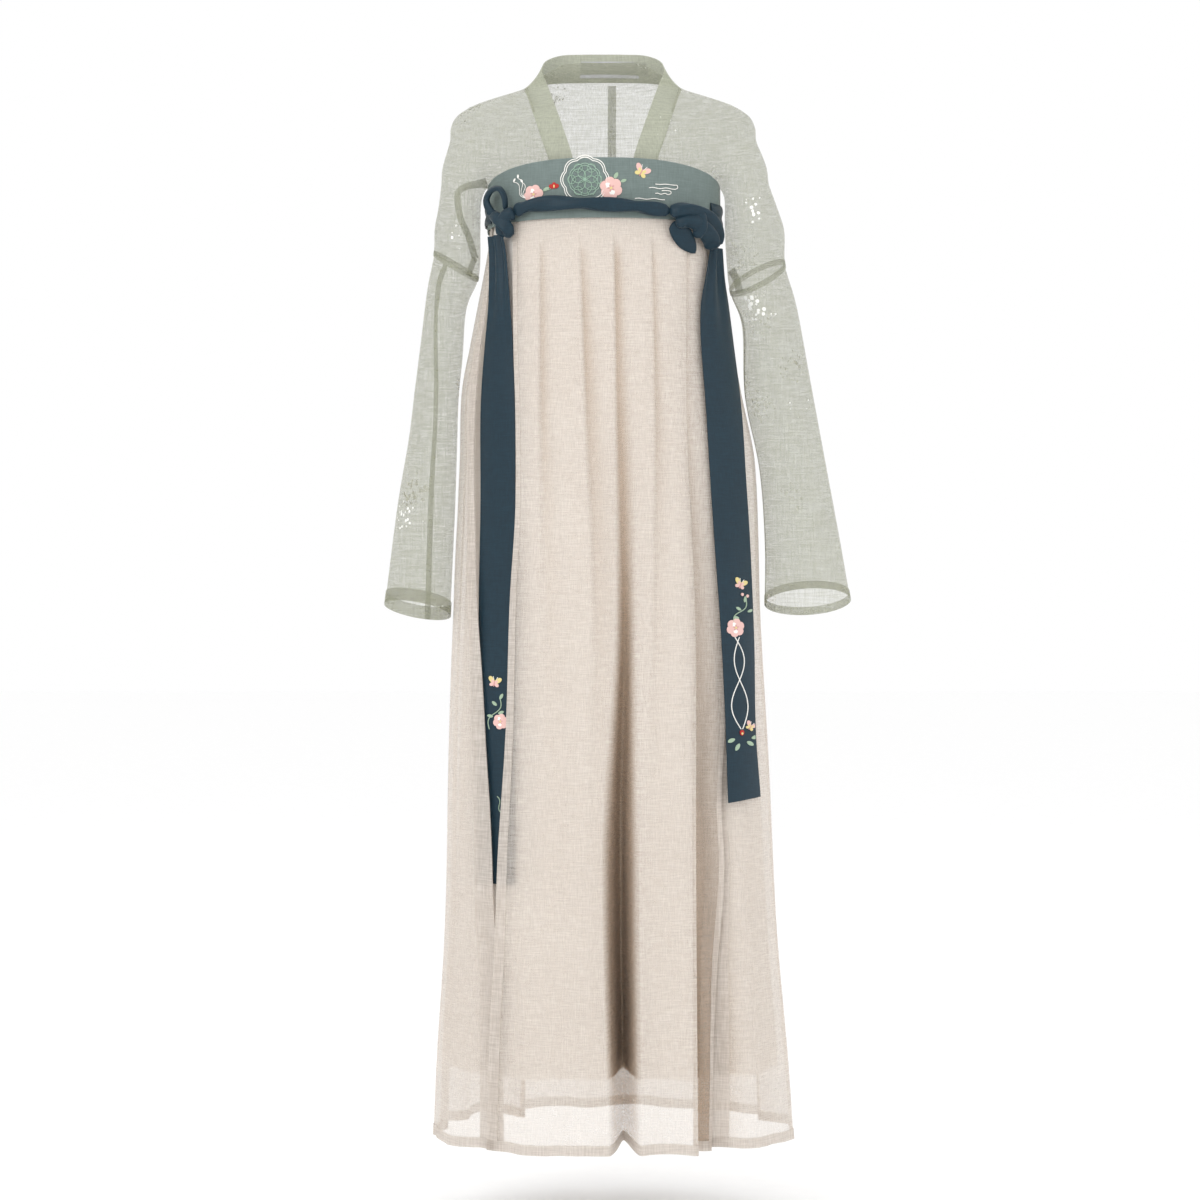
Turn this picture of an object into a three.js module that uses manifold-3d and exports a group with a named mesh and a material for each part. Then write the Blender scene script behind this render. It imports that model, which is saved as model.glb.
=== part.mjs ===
// A chest-high ruqun set, filled out as if worn: a sheer open-fronted blouse under a pleated two-panel skirt.
// Millimetres, +Z up. The front faces -Y and +X is the wearer's left. The origin is at the neck base,
// midway between the shoulder tops, where the wearer holds the set up.
import * as THREE from "three";
import { mergeVertices } from "three/addons/utils/BufferGeometryUtils.js";
import Module from "manifold-3d";

const wasm = await Module();
wasm.setup();

// Driving dimensions
const SHEER_WALL = 1.2; // blouse cloth and sheer skirt cloth
const LINING_WALL = 1.2;
const BAND_WALL = 1.6; // interlined chest band
const TIE_WALL = 1.6; // double cloth of the ties
const SEAM_GAP = 0.4;
const HEM_Z = -1326; // skirt hem
const LINING_HEM_Z = -1235;
const SKIRT_TOP_Z = -112; // top of the pleats, inside the band
const BAND_TOP_FRONT_Z = -79;
const BAND_TOP_SIDE_Z = -107;
const BAND_BOTTOM_FRONT_Z = -155;
const BAND_BOTTOM_SIDE_Z = -161;
const BLOUSE_HEM_Z = -480;
const CENTRE_BACK_X = 12; // the blouse hangs with its back seam a little off centre
const TIE_Z = -140; // middle of the twisted tie
const TUCK_DEPTH = 6; // how far the back panel lies under the front one

// Skirt sections: half width, half depth, sideways centre and roundness at each height
const SKIRT_SECTIONS = [
  { z: -60, halfWidth: 148.5, halfDepth: 105, centre: 1, power: 2.4 },
  { z: -165, halfWidth: 148.5, halfDepth: 105, centre: 1, power: 2.4 },
  { z: -200, halfWidth: 152, halfDepth: 109, centre: 0, power: 2.35 },
  { z: -300, halfWidth: 169, halfDepth: 117, centre: -2, power: 2.3 },
  { z: -368, halfWidth: 181, halfDepth: 122, centre: -2, power: 2.3 },
  { z: -461, halfWidth: 191, halfDepth: 128, centre: 6, power: 2.3 },
  { z: -658, halfWidth: 199, halfDepth: 139, centre: 6, power: 2.25 },
  { z: -845, halfWidth: 208, halfDepth: 150, centre: 8, power: 2.2 },
  { z: -1057, halfWidth: 216, halfDepth: 159, centre: 11, power: 2.2 },
  { z: -1228, halfWidth: 228, halfDepth: 166, centre: 13, power: 2.2 },
  { z: -1326, halfWidth: 233, halfDepth: 171, centre: 14, power: 2.2 },
];

// Pleat lines of the front panel, left to right. Each row: place, depth, and how far it runs out to each side.
const LEVELS = [-165, -400, -660, -950, -1326];
const FRONT_PLEATS = [
  { x: [-79, -79, -69, -62, -60], depth: [3, 6, 5, 4, 4], near: [4, 5, 14, 26, 34], far: [14, 20, 34, 50, 60] },
  { x: [-29, -20, -6, -2, 0], depth: [3, 7, 7, 5, 4], near: [4, 5, 9, 20, 30], far: [14, 20, 26, 26, 20] },
  { x: [15, 20, 28, 25, 29], depth: [4, 9, 24, 60, 100], near: [4, 6, 9, 18, 14], far: [14, 16, 12, 16, 14] },
  { x: [63, 68, 69, 70, 72], depth: [3, 6, 5, 4, 4], near: [4, 5, 9, 18, 24], far: [14, 18, 30, 36, 40] },
  { x: [108, 108, 121, 123, 124], depth: [3, 5, 12, 22, 34], near: [4, 5, 7, 7, 6], far: [12, 14, 40, 70, 90] },
];
// Pleat lines of the back panel, by angle from +X round the back, in degrees
const BACK_PLEATS = [
  { angle: [-6, -5, -4, -3, -2], depth: [1, 2, 3, 4, 5], near: [6, 8, 14, 22, 26], far: [10, 14, 18, 24, 30] },
  { angle: [32, 30, 27, 25, 24], depth: [3, 6, 9, 16, 24], near: [5, 7, 16, 30, 40], far: [12, 18, 24, 34, 44] },
  { angle: [62, 60, 58, 57, 57], depth: [3, 7, 13, 28, 44], near: [5, 6, 10, 16, 20], far: [13, 18, 20, 24, 26] },
  { angle: [88, 90, 93, 95, 96], depth: [3, 6, 8, 12, 16], near: [5, 6, 16, 30, 38], far: [13, 16, 26, 38, 46] },
  { angle: [114, 118, 121, 124, 126], depth: [3, 8, 16, 34, 52], near: [5, 6, 10, 18, 20], far: [13, 16, 18, 22, 26] },
  { angle: [142, 145, 148, 150, 152], depth: [3, 6, 8, 12, 18], near: [5, 7, 16, 28, 38], far: [12, 16, 26, 36, 44] },
  { angle: [171, 171, 174, 176, 178], depth: [2, 4, 6, 10, 14], near: [5, 7, 16, 26, 36], far: [10, 14, 22, 30, 36] },
];

// Edges of the skirt panels and of the tie tails, as x at each height
const FRONT_LEFT_EDGE = [
  { z: -60, x: -115 },
  { z: -165, x: -115 },
  { z: -311, x: -113 },
  { z: -403, x: -110 },
  { z: -525, x: -110 },
  { z: -640, x: -117 },
  { z: -800, x: -122 },
  { z: -950, x: -131 },
  { z: -1070, x: -135 },
  { z: -1190, x: -142 },
  { z: -1326, x: -146 },
];
const BACK_LEFT_EDGE = [
  { z: -60, x: -141 },
  { z: -228, x: -145 },
  { z: -311, x: -156 },
  { z: -403, x: -163 },
  { z: -525, x: -163 },
  { z: -640, x: -158 },
  { z: -805, x: -149 },
  { z: -900, x: -142 },
  { z: -1000, x: -138 },
  { z: -1045, x: -139 },
  { z: -1110, x: -130 },
  { z: -1326, x: -126 },
];
const FRONT_RIGHT_EDGE = [
  { z: -60, x: 128 },
  { z: -165, x: 128 },
  { z: -255, x: 141 },
  { z: -575, x: 163 },
  { z: -893, x: 153 },
  { z: -970, x: 157 },
  { z: -1100, x: 152 },
  { z: -1326, x: 148 },
];
const BACK_RIGHT_TUCK = [
  { z: -60, x: -3 },
  { z: -260, x: -3 },
  { z: -400, x: 15 },
  { z: -1326, x: 16 },
];
const LEFT_TAIL = [
  { z: -172, left: -138, right: -120, out: 9 },
  { z: -200, left: -139, right: -118, out: 6 },
  { z: -262, left: -145, right: -117, out: 1 },
  { z: -311, left: -153, right: -116, out: -3.5 },
  { z: -403, left: -160, right: -113, out: -5.2 },
  { z: -525, left: -160, right: -113, out: -5.2 },
  { z: -640, left: -161, right: -112, out: -5.2 },
  { z: -994, left: -162, right: -113, out: -5.4 },
];
const RIGHT_TAIL = [
  { z: -186, left: 131, right: 145, out: 7 },
  { z: -225, left: 126, right: 149, out: 6 },
  { z: -261, left: 121, right: 156, out: 5 },
  { z: -311, left: 121, right: 163, out: 5 },
  { z: -390, left: 127, right: 172, out: 5 },
  { z: -474, left: 132, right: 178, out: 5 },
  { z: -574, left: 138, right: 185, out: 5 },
  { z: -682, left: 145, right: 189, out: 5 },
  { z: -801, left: 151, right: 190, out: 5 },
  { z: -890, left: 154, right: 197, out: 5 },
];

// Blouse body sections: half width, and how far the cloth stands in front of and behind the shoulder line
const BODY_SECTIONS = [
  { z: 62, halfWidth: 52, front: 20, back: 66, power: 2 },
  { z: 49, halfWidth: 74, front: 26, back: 77, power: 2 },
  { z: 40, halfWidth: 89, front: 32, back: 81, power: 2 },
  { z: 27, halfWidth: 103, front: 38, back: 85, power: 2 },
  { z: 14, halfWidth: 143, front: 50, back: 88, power: 2 },
  { z: 4, halfWidth: 171, front: 59, back: 90, power: 2 },
  { z: -13, halfWidth: 194, front: 71, back: 93, power: 2 },
  { z: -40, halfWidth: 198, front: 84, back: 95, power: 2 },
  { z: -60, halfWidth: 184, front: 92, back: 97, power: 2.1 },
  { z: -78, halfWidth: 156, front: 96, back: 98, power: 2.2 },
  { z: -92, halfWidth: 143.5, front: 97, back: 98, power: 2.4 },
  { z: -165, halfWidth: 143, front: 97, back: 97, power: 2.4 },
  { z: -300, halfWidth: 146, front: 95, back: 97, power: 2.3 },
  { z: -480, halfWidth: 152, front: 96, back: 99, power: 2.3 },
];

// Arm sections from shoulder to cuff: distance out from centre, height, size, and how the ring leans:
// rise is how much it climbs outward, lean how much it climbs toward the back
const RIGHT_ARM = [
  { out: 161, z: -48, halfWidth: 37, halfDepth: 48, rise: 0.25, lean: 0 },
  { out: 178, z: -84, halfWidth: 35, halfDepth: 54, rise: 0.2, lean: 0 },
  { out: 186, z: -103, halfWidth: 29, halfDepth: 55, rise: 0.25, lean: 0.02 },
  { out: 192, z: -138, halfWidth: 34, halfDepth: 56, rise: 0.36, lean: 0.12 },
  { out: 198, z: -175, halfWidth: 38, halfDepth: 55, rise: 0.46, lean: 0.25 },
  { out: 201, z: -219, halfWidth: 36, halfDepth: 52, rise: 0.52, lean: 0.3 },
  { out: 216, z: -268, halfWidth: 36, halfDepth: 52, rise: 0.4, lean: 0.3 },
  { out: 227, z: -361, halfWidth: 43, halfDepth: 49, rise: 0.25, lean: 0.25 },
  { out: 246, z: -460, halfWidth: 43, halfDepth: 46, rise: 0.16, lean: 0.25 },
  { out: 259, z: -560, halfWidth: 49, halfDepth: 42, rise: 0.1, lean: 0.35 },
  { out: 266, z: -639, halfWidth: 56, halfDepth: 38, rise: 0.07, lean: 0.45 },
];
const LEFT_ARM = [
  { out: 161, z: -48, halfWidth: 37, halfDepth: 48, rise: 0.25, lean: 0 },
  { out: 176, z: -84, halfWidth: 33, halfDepth: 54, rise: 0.2, lean: 0 },
  { out: 183, z: -103, halfWidth: 27, halfDepth: 55, rise: 0.25, lean: 0 },
  { out: 187, z: -139, halfWidth: 27, halfDepth: 56, rise: 0.38, lean: 0.05 },
  { out: 189, z: -170, halfWidth: 30, halfDepth: 56, rise: 0.5, lean: 0.1 },
  { out: 191, z: -204, halfWidth: 29, halfDepth: 54, rise: 0.6, lean: 0.15 },
  { out: 203, z: -247, halfWidth: 26, halfDepth: 54, rise: 0.5, lean: 0.15 },
  { out: 210, z: -315, halfWidth: 28, halfDepth: 53, rise: 0.3, lean: 0.15 },
  { out: 216, z: -369, halfWidth: 29, halfDepth: 52, rise: 0.25, lean: 0.15 },
  { out: 221, z: -433, halfWidth: 32, halfDepth: 51, rise: 0.2, lean: 0.15 },
  { out: 230, z: -523, halfWidth: 38, halfDepth: 50, rise: 0.18, lean: 0.18 },
  { out: 241, z: -650, halfWidth: 43, halfDepth: 48, rise: 0.2, lean: 0.2 },
];
const SLEEVE_SEAM_ROW = 5; // the arm row where the sleeve is sewn to the body piece

// Collar band, one side, from the hem round to the centre back: neck edge and seam edge
const COLLAR = [
  { neckX: 3, neckZ: -480, seamX: 39, seamZ: -480, lift: 0 },
  { neckX: 3, neckZ: -360, seamX: 39, seamZ: -360, lift: 0 },
  { neckX: 4, neckZ: -250, seamX: 40, seamZ: -252, lift: 0 },
  { neckX: 20, neckZ: -150, seamX: 53, seamZ: -153, lift: 0 },
  { neckX: 38, neckZ: -79, seamX: 68, seamZ: -84, lift: 1 },
  { neckX: 49, neckZ: -43, seamX: 79, seamZ: -49, lift: 3 },
  { neckX: 60, neckZ: -10, seamX: 89, seamZ: -17, lift: 5 },
];
const COLLAR_NECK = [
  { neckX: 72, neckY: -14, neckZ: 30, seamX: 97, seamY: -20, seamZ: 12 },
  { neckX: 79, neckY: 4, neckZ: 51, seamX: 101.5, seamY: 8, seamZ: 28.5 },
  { neckX: 75, neckY: 30, neckZ: 69, seamX: 88, seamY: 42, seamZ: 39 },
  { neckX: 56, neckY: 62, neckZ: 83, seamX: 62, seamY: 68, seamZ: 47 },
  { neckX: 29, neckY: 75, neckZ: 87, seamX: 32, seamY: 79, seamZ: 50 },
  { neckX: 0, neckY: 79, neckZ: 88, seamX: 0, seamY: 83, seamZ: 51 },
];

// A smooth curve through one column of a table, whose rows run down in z
function column(rows, name, z) {
  const last = rows.length - 1;
  let i = 0;
  while (i < last - 1 && z < rows[i + 1].z) i += 1;
  const span = rows[i + 1].z - rows[i].z;
  const t = THREE.MathUtils.clamp((z - rows[i].z) / span, 0, 1);
  const slope = (k) => {
    const a = rows[Math.max(k - 1, 0)];
    const b = rows[Math.min(k + 1, last)];
    return ((b[name] - a[name]) / (b.z - a.z)) * span;
  };
  return hermite(rows[i][name], rows[i + 1][name], slope(i), slope(i + 1), t);
}

function hermite(from, to, slopeFrom, slopeTo, t) {
  const t2 = t * t;
  const t3 = t2 * t;
  return from * (2 * t3 - 3 * t2 + 1) + to * (3 * t2 - 2 * t3) + slopeFrom * (t3 - 2 * t2 + t) + slopeTo * (t3 - t2);
}

const levelRows = (values) => LEVELS.map((z, i) => ({ z, value: values[i] }));
const atLevel = (values, z) => column(levelRows(values), "value", Math.min(z, LEVELS[0]));

// A point of a rounded section at an angle, 0 at +X and -90 degrees at the front
function sectionPoint(angle, halfWidth, halfFront, halfBack, power) {
  const c = Math.cos(angle);
  const s = Math.sin(angle);
  const x = halfWidth * Math.sign(c) * Math.abs(c) ** (2 / power);
  const y = (s < 0 ? halfFront : halfBack) * Math.sign(s) * Math.abs(s) ** (2 / power);
  return [x, y];
}

function skirtSection(z) {
  const get = (name) => column(SKIRT_SECTIONS, name, z);
  return { halfWidth: get("halfWidth"), halfDepth: get("halfDepth"), centre: get("centre"), power: get("power") };
}

// The angle at which the front of the skirt has this x
function frontAngle(x, z) {
  const { halfWidth, centre, power } = skirtSection(z);
  const across = THREE.MathUtils.clamp((x - centre) / halfWidth, -0.9999, 0.9999);
  return -Math.acos(Math.sign(across) * Math.abs(across) ** (power / 2));
}

const smooth = (t) => THREE.MathUtils.smoothstep(t, 0, 1);

function pleatAngle(pleat, z) {
  if (pleat.angle) return THREE.MathUtils.degToRad(atLevel(pleat.angle, z));
  return frontAngle(atLevel(pleat.x, z), z);
}

// How far all the pleats pull the cloth in at an angle. The near side of a pleat is its steep side.
function pleatDepth(angle, z) {
  const { halfWidth, halfDepth } = skirtSection(z);
  const radius = (halfWidth + halfDepth) / 2;
  const start = smooth((LEVELS[0] + 4 - z) / 45);
  let depth = 0;
  for (const pleat of [...FRONT_PLEATS, ...BACK_PLEATS]) {
    const away = (angle - pleatAngle(pleat, z)) * radius;
    const reach = atLevel(away < 0 ? pleat.near : pleat.far, z);
    depth += start * atLevel(pleat.depth, z) * smooth(1 - Math.abs(away) / reach);
  }
  return depth;
}

// A point of the skirt's outer cloth, moved out by so much
function skirtPoint(angle, z, out) {
  const base = skirtSection(z);
  const place = (a) => sectionPoint(a, base.halfWidth, base.halfDepth, base.halfDepth, base.power);
  const step = 0.02;
  const [x, y] = place(angle);
  const [xa, ya] = place(angle - step);
  const [xb, yb] = place(angle + step);
  const along = new THREE.Vector2(xb - xa, yb - ya).normalize();
  const move = out - pleatDepth(angle, z);
  return new THREE.Vector3(base.centre + x + along.y * move, y - along.x * move, z);
}

// The angle at which the front of the cloth, moved out by so much, has this x
function angleAt(x, z, out) {
  let low = -Math.PI;
  let high = 0;
  for (let k = 0; k < 30; k += 1) {
    const middle = (low + high) / 2;
    if (skirtPoint(middle, z, out).x < x) low = middle;
    else high = middle;
  }
  return (low + high) / 2;
}

// Builds one closed wall on a grid of middle points: columns of rows, closed all round if asked
function wall(grid, thickness, closed = false) {
  const columns = grid.length;
  const rows = grid[0].length;
  const at = (i, j) => {
    const wrapped = closed ? (i + columns) % columns : THREE.MathUtils.clamp(i, 0, columns - 1);
    return grid[wrapped][THREE.MathUtils.clamp(j, 0, rows - 1)];
  };
  const vertices = [];
  for (const side of [0.5, -0.5]) {
    for (let i = 0; i < columns; i += 1) {
      for (let j = 0; j < rows; j += 1) {
        const across = at(i + 1, j).clone().sub(at(i - 1, j));
        const down = at(i, j + 1).clone().sub(at(i, j - 1));
        const normal = across.cross(down).normalize();
        vertices.push(at(i, j).clone().addScaledVector(normal, side * thickness));
      }
    }
  }
  const layer = columns * rows;
  const index = (i, j, inner) => (inner ? layer : 0) + (i % columns) * rows + j;
  const faces = [];
  const quad = (a, b, c, d) => faces.push(a, b, c, a, c, d);
  const spans = closed ? columns : columns - 1;
  for (let i = 0; i < spans; i += 1) {
    for (let j = 0; j < rows - 1; j += 1) {
      quad(index(i, j), index(i + 1, j), index(i + 1, j + 1), index(i, j + 1));
      quad(index(i, j, true), index(i, j + 1, true), index(i + 1, j + 1, true), index(i + 1, j, true));
    }
    quad(index(i, 0, true), index(i + 1, 0, true), index(i + 1, 0), index(i, 0));
    quad(index(i, rows - 1), index(i + 1, rows - 1), index(i + 1, rows - 1, true), index(i, rows - 1, true));
  }
  if (!closed) {
    for (let j = 0; j < rows - 1; j += 1) {
      quad(index(0, j), index(0, j + 1), index(0, j + 1, true), index(0, j, true));
      const end = columns - 1;
      quad(index(end, j, true), index(end, j + 1, true), index(end, j + 1), index(end, j));
    }
  }
  return facingOut(vertices, faces);
}

// Builds one closed solid through rings of points, with flat ends
function loft(rings) {
  const size = rings[0].length;
  const vertices = rings.flat();
  const faces = [];
  for (let r = 0; r < rings.length - 1; r += 1) {
    for (let i = 0; i < size; i += 1) {
      const a = r * size + i;
      const b = r * size + ((i + 1) % size);
      faces.push(a, b, b + size, a, b + size, a + size);
    }
  }
  const last = (rings.length - 1) * size;
  for (let i = 1; i < size - 1; i += 1) {
    faces.push(0, i + 1, i, last, last + i, last + i + 1);
  }
  return facingOut(vertices, faces);
}

function facingOut(vertices, faces) {
  let volume = 0;
  for (let f = 0; f < faces.length; f += 3) {
    const [a, b, c] = [vertices[faces[f]], vertices[faces[f + 1]], vertices[faces[f + 2]]];
    volume += a.dot(b.clone().cross(c));
  }
  const order = volume < 0 ? faces.slice().reverse() : faces;
  const geometry = new THREE.BufferGeometry();
  geometry.setAttribute("position", new THREE.Float32BufferAttribute(vertices.flatMap((v) => v.toArray()), 3));
  geometry.setIndex(order);
  return geometry;
}

function toSolid(geometry) {
  const bare = geometry.clone();
  bare.deleteAttribute("normal");
  bare.deleteAttribute("uv");
  const merged = mergeVertices(bare, 1e-4);
  const vertProperties = new Float32Array(merged.attributes.position.array);
  const triVerts = new Uint32Array(merged.index.array);
  return new wasm.Manifold(new wasm.Mesh({ numProp: 3, vertProperties, triVerts }));
}

function fromSolid(solid) {
  const mesh = solid.getMesh();
  const geometry = new THREE.BufferGeometry();
  geometry.setAttribute("position", new THREE.BufferAttribute(new Float32Array(mesh.vertProperties), 3));
  geometry.setIndex(new THREE.BufferAttribute(new Uint32Array(mesh.triVerts), 1));
  return geometry;
}

function box(from, to) {
  const size = to.map((v, i) => v - from[i]);
  const geometry = new THREE.BoxGeometry(...size);
  geometry.translate(...from.map((v, i) => v + size[i] / 2));
  return toSolid(geometry);
}

const group = new THREE.Group();
const cloth = {
  sheerGreen: { color: "#b7bfa4", roughness: 0.75 },
  collarGreen: { color: "#c0c7ad", roughness: 0.75 },
  sheerCream: { color: "#dccfc4", roughness: 0.8 },
  liningCream: { color: "#cfcbc6", roughness: 0.85 },
  bandTeal: { color: "#728b87", roughness: 0.7 },
  tieTeal: { color: "#17384a", roughness: 0.65 },
  labelWhite: { color: "#c9cad0", roughness: 0.5 },
};

function add(name, geometry, finish) {
  geometry.computeVertexNormals();
  const mesh = new THREE.Mesh(geometry, new THREE.MeshStandardMaterial({ ...finish, metalness: 0 }));
  mesh.name = name;
  group.add(mesh);
}

const steps = (count) => Array.from({ length: count + 1 }, (_, i) => i / count);

// Skirt: grid lines run down through the pleats, closer together at a pleat's steep side
const AROUND_A_PLEAT = [0, 0.16, 0.42, 0.8];
const SKIRT_ROWS = [0, 0.043, 0.1, 0.17, 0.26, 0.36, 0.46, 0.56, 0.66, 0.76, 0.86, 0.93, 1];
const LINING_ROWS = [0, 0.047, 0.11, 0.19, 0.4, 0.68, 0.84, 1];

function panelGrid(start, pleats, end, heights, bottomZ, out) {
  const stations = [];
  for (let k = 0; k <= pleats.length; k += 1) {
    for (const part of AROUND_A_PLEAT) stations.push(k + part);
  }
  stations.push(pleats.length + 1);
  return stations.map((station) =>
    heights.map((down) => {
      const z = SKIRT_TOP_Z + (bottomZ - SKIRT_TOP_Z) * down;
      const lines = [start(z), ...pleats.map((pleat) => pleatAngle(pleat, z)), end(z)];
      const k = Math.min(Math.floor(station), pleats.length);
      const angle = THREE.MathUtils.lerp(lines[k], lines[k + 1], station - k);
      return skirtPoint(angle, z, out(angle, z));
    })
  );
}

const frontLeft = (z) => frontAngle(column(FRONT_LEFT_EDGE, "x", z), z);
const frontRight = (z) => frontAngle(column(FRONT_RIGHT_EDGE, "x", z), z);
const backLeft = (z) => 2 * Math.PI + frontAngle(column(BACK_LEFT_EDGE, "x", z), z);
const backRight = (z) => frontAngle(column(FRONT_RIGHT_EDGE, "x", z) - column(BACK_RIGHT_TUCK, "x", z), z);

// The back panel lies under the front one along its right edge, and at the left only below the tail's end
function backTuck(angle, z) {
  const right = smooth(1 - (angle - frontRight(z)) / 0.2) * smooth((-250 - z) / 80);
  const left = smooth(1 - (backLeft(z) - angle) / 0.3) * smooth((-1002 - z) / 40);
  return -TUCK_DEPTH * Math.max(right, left);
}
const liningOut = (angle, z) => -2.4 - 10.6 * smooth((-172 - z) / 110);

const frontGrid = panelGrid(frontLeft, FRONT_PLEATS, frontRight, SKIRT_ROWS, HEM_Z, () => 0);
const backGrid = panelGrid(backRight, BACK_PLEATS, backLeft, SKIRT_ROWS, HEM_Z, backTuck);
add("skirt_front_outer", wall(frontGrid, SHEER_WALL), cloth.sheerCream);
add("skirt_back_outer", wall(backGrid, SHEER_WALL), cloth.sheerCream);
const LINING_SPLIT = 0.012; // radians between the two linings
const liningLeft = (z) => backLeft(z) - 2 * Math.PI;
const liningFrontGrid = panelGrid(liningLeft, FRONT_PLEATS, frontRight, LINING_ROWS, LINING_HEM_Z, liningOut);
const liningBackGrid = panelGrid(
  (z) => frontRight(z) + LINING_SPLIT,
  BACK_PLEATS,
  (z) => backLeft(z) - LINING_SPLIT,
  LINING_ROWS,
  LINING_HEM_Z,
  liningOut
);
add("lining_front", wall(liningFrontGrid, LINING_WALL), cloth.liningCream);
add("lining_back", wall(liningBackGrid, LINING_WALL), cloth.liningCream);

// Chest band: two lengths that meet at the sides, higher in front
const BAND_OUT = 2.6;
const BAND_ENDS = 0.02;
function bandHeight(angle, frontZ, sideZ) {
  const forward = Math.max(-Math.sin(angle), 0);
  return sideZ + (frontZ - sideZ) * forward;
}
function bandGrid(from, to, count, out, topOf, bottomOf) {
  return steps(count).map((part) => {
    const angle = from + (to - from) * part;
    const top = topOf(angle);
    const bottom = bottomOf(angle);
    return steps(2).map((down) => skirtPoint(angle, top + (bottom - top) * down, out));
  });
}
const bandTop = (angle) => bandHeight(angle, BAND_TOP_FRONT_Z, BAND_TOP_SIDE_Z);
const bandBottom = (angle) => bandHeight(angle, BAND_BOTTOM_FRONT_Z, BAND_BOTTOM_SIDE_Z);
const FRONT_ARC = [-Math.PI + BAND_ENDS, -BAND_ENDS];
const BACK_ARC = [BAND_ENDS, Math.PI - BAND_ENDS];
add("band_front", wall(bandGrid(...FRONT_ARC, 20, BAND_OUT, bandTop, bandBottom), BAND_WALL), cloth.bandTeal);
add("band_back", wall(bandGrid(...BACK_ARC, 18, BAND_OUT, bandTop, bandBottom), BAND_WALL), cloth.bandTeal);

// Ties: a flat turn round the back, a twisted one across the front, two knots, a loop, an end and two tails
const WRAP_OUT = BAND_OUT + 2.6;
const WRAP_TOP_Z = TIE_Z + 12;
const WRAP_BOTTOM_Z = TIE_Z - 13;
const WRAP_ARC = [-0.5, Math.PI + 0.36];
add("tie_wrap_back", wall(bandGrid(...WRAP_ARC, 26, WRAP_OUT, () => WRAP_TOP_Z, () => WRAP_BOTTOM_Z), TIE_WALL), cloth.tieTeal);

const TWIST = [
  { x: -116, z: -143, halfHeight: 8, halfDepth: 5 },
  { x: -92, z: -138, halfHeight: 8.5, halfDepth: 5.5 },
  { x: -55, z: -137, halfHeight: 8.5, halfDepth: 6 },
  { x: -10, z: -139, halfHeight: 8, halfDepth: 5.5 },
  { x: 30, z: -140.5, halfHeight: 8, halfDepth: 6 },
  { x: 62, z: -144, halfHeight: 8, halfDepth: 5.5 },
  { x: 85, z: -146, halfHeight: 7, halfDepth: 5 },
];
const TWIST_OUT = BAND_OUT + 8;
const TWIST_TURNS_PER_ROW = 0.32;
const twistRings = TWIST.flatMap((row, k) => {
  const next = TWIST[k + 1];
  const parts = next ? [0, 0.33, 0.66] : [0];
  return parts.map((part) => {
    const mix = (name) => (next ? THREE.MathUtils.lerp(row[name], next[name], part) : row[name]);
    const angle = angleAt(mix("x"), TIE_Z, TWIST_OUT);
    const turn = (k + part) * TWIST_TURNS_PER_ROW * Math.PI;
    return steps(9)
      .slice(0, 10)
      .map((around) => {
        const a = around * 2 * Math.PI * 0.9;
        const squeeze = 1 + 0.13 * Math.cos(2 * (a + turn));
        const up = Math.sin(a) * mix("halfHeight") * squeeze;
        const forward = Math.cos(a) * mix("halfDepth") * squeeze;
        const point = skirtPoint(angle, TIE_Z, TWIST_OUT + forward);
        return point.setZ(mix("z") + up);
      });
  });
});
add("tie_twist_front", loft(twistRings), cloth.tieTeal);

// A knot: a stack of rounded rings, leaned and lumpy
function knot(centre, halfWidth, halfDepth, halfHeight, lean, lump) {
  const RINGS = 7;
  const AROUND = 10;
  const rings = steps(RINGS - 1).map((part) => {
    const up = -Math.cos(part * Math.PI);
    const spread = Math.max(Math.sqrt(1 - up * up), 0.3);
    return steps(AROUND)
      .slice(0, AROUND)
      .map((around) => {
        const a = around * 2 * Math.PI;
        const swell = spread * (1 + lump * Math.cos(3 * a + 2 * up));
        const x = centre[0] + Math.cos(a) * halfWidth * swell + lean * up * halfHeight;
        return new THREE.Vector3(x, centre[1] + Math.sin(a) * halfDepth * swell, centre[2] + up * halfHeight);
      });
  });
  return loft(rings);
}
function onBand(x, z, out) {
  return skirtPoint(angleAt(x, TIE_Z, out), TIE_Z, out).setZ(z);
}
const LEFT_KNOT = { x: -129, z: -158, out: 20, halfWidth: 10, halfDepth: 8, halfHeight: 12 };
const RIGHT_KNOT = { x: 120, z: -160, out: 24, halfWidth: 29, halfDepth: 9.5, halfHeight: 19 };
add(
  "knot_left",
  knot(onBand(LEFT_KNOT.x, LEFT_KNOT.z, LEFT_KNOT.out).toArray(), LEFT_KNOT.halfWidth, LEFT_KNOT.halfDepth, LEFT_KNOT.halfHeight, 0, 0.06),
  cloth.tieTeal
);
add(
  "knot_right",
  knot(onBand(RIGHT_KNOT.x, RIGHT_KNOT.z, RIGHT_KNOT.out).toArray(), RIGHT_KNOT.halfWidth, RIGHT_KNOT.halfDepth, RIGHT_KNOT.halfHeight, -0.3, 0.06),
  cloth.tieTeal
);
const LOOP = { x: -137, z: -126, out: 20, radius: 10.8, tube: 5 };
const loop = new THREE.TorusGeometry(LOOP.radius, LOOP.tube, 8, 14);
loop.rotateX(Math.PI / 2);
loop.translate(...onBand(LOOP.x, LOOP.z, LOOP.out).toArray());
add("tie_loop_left", loop, cloth.tieTeal);

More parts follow.
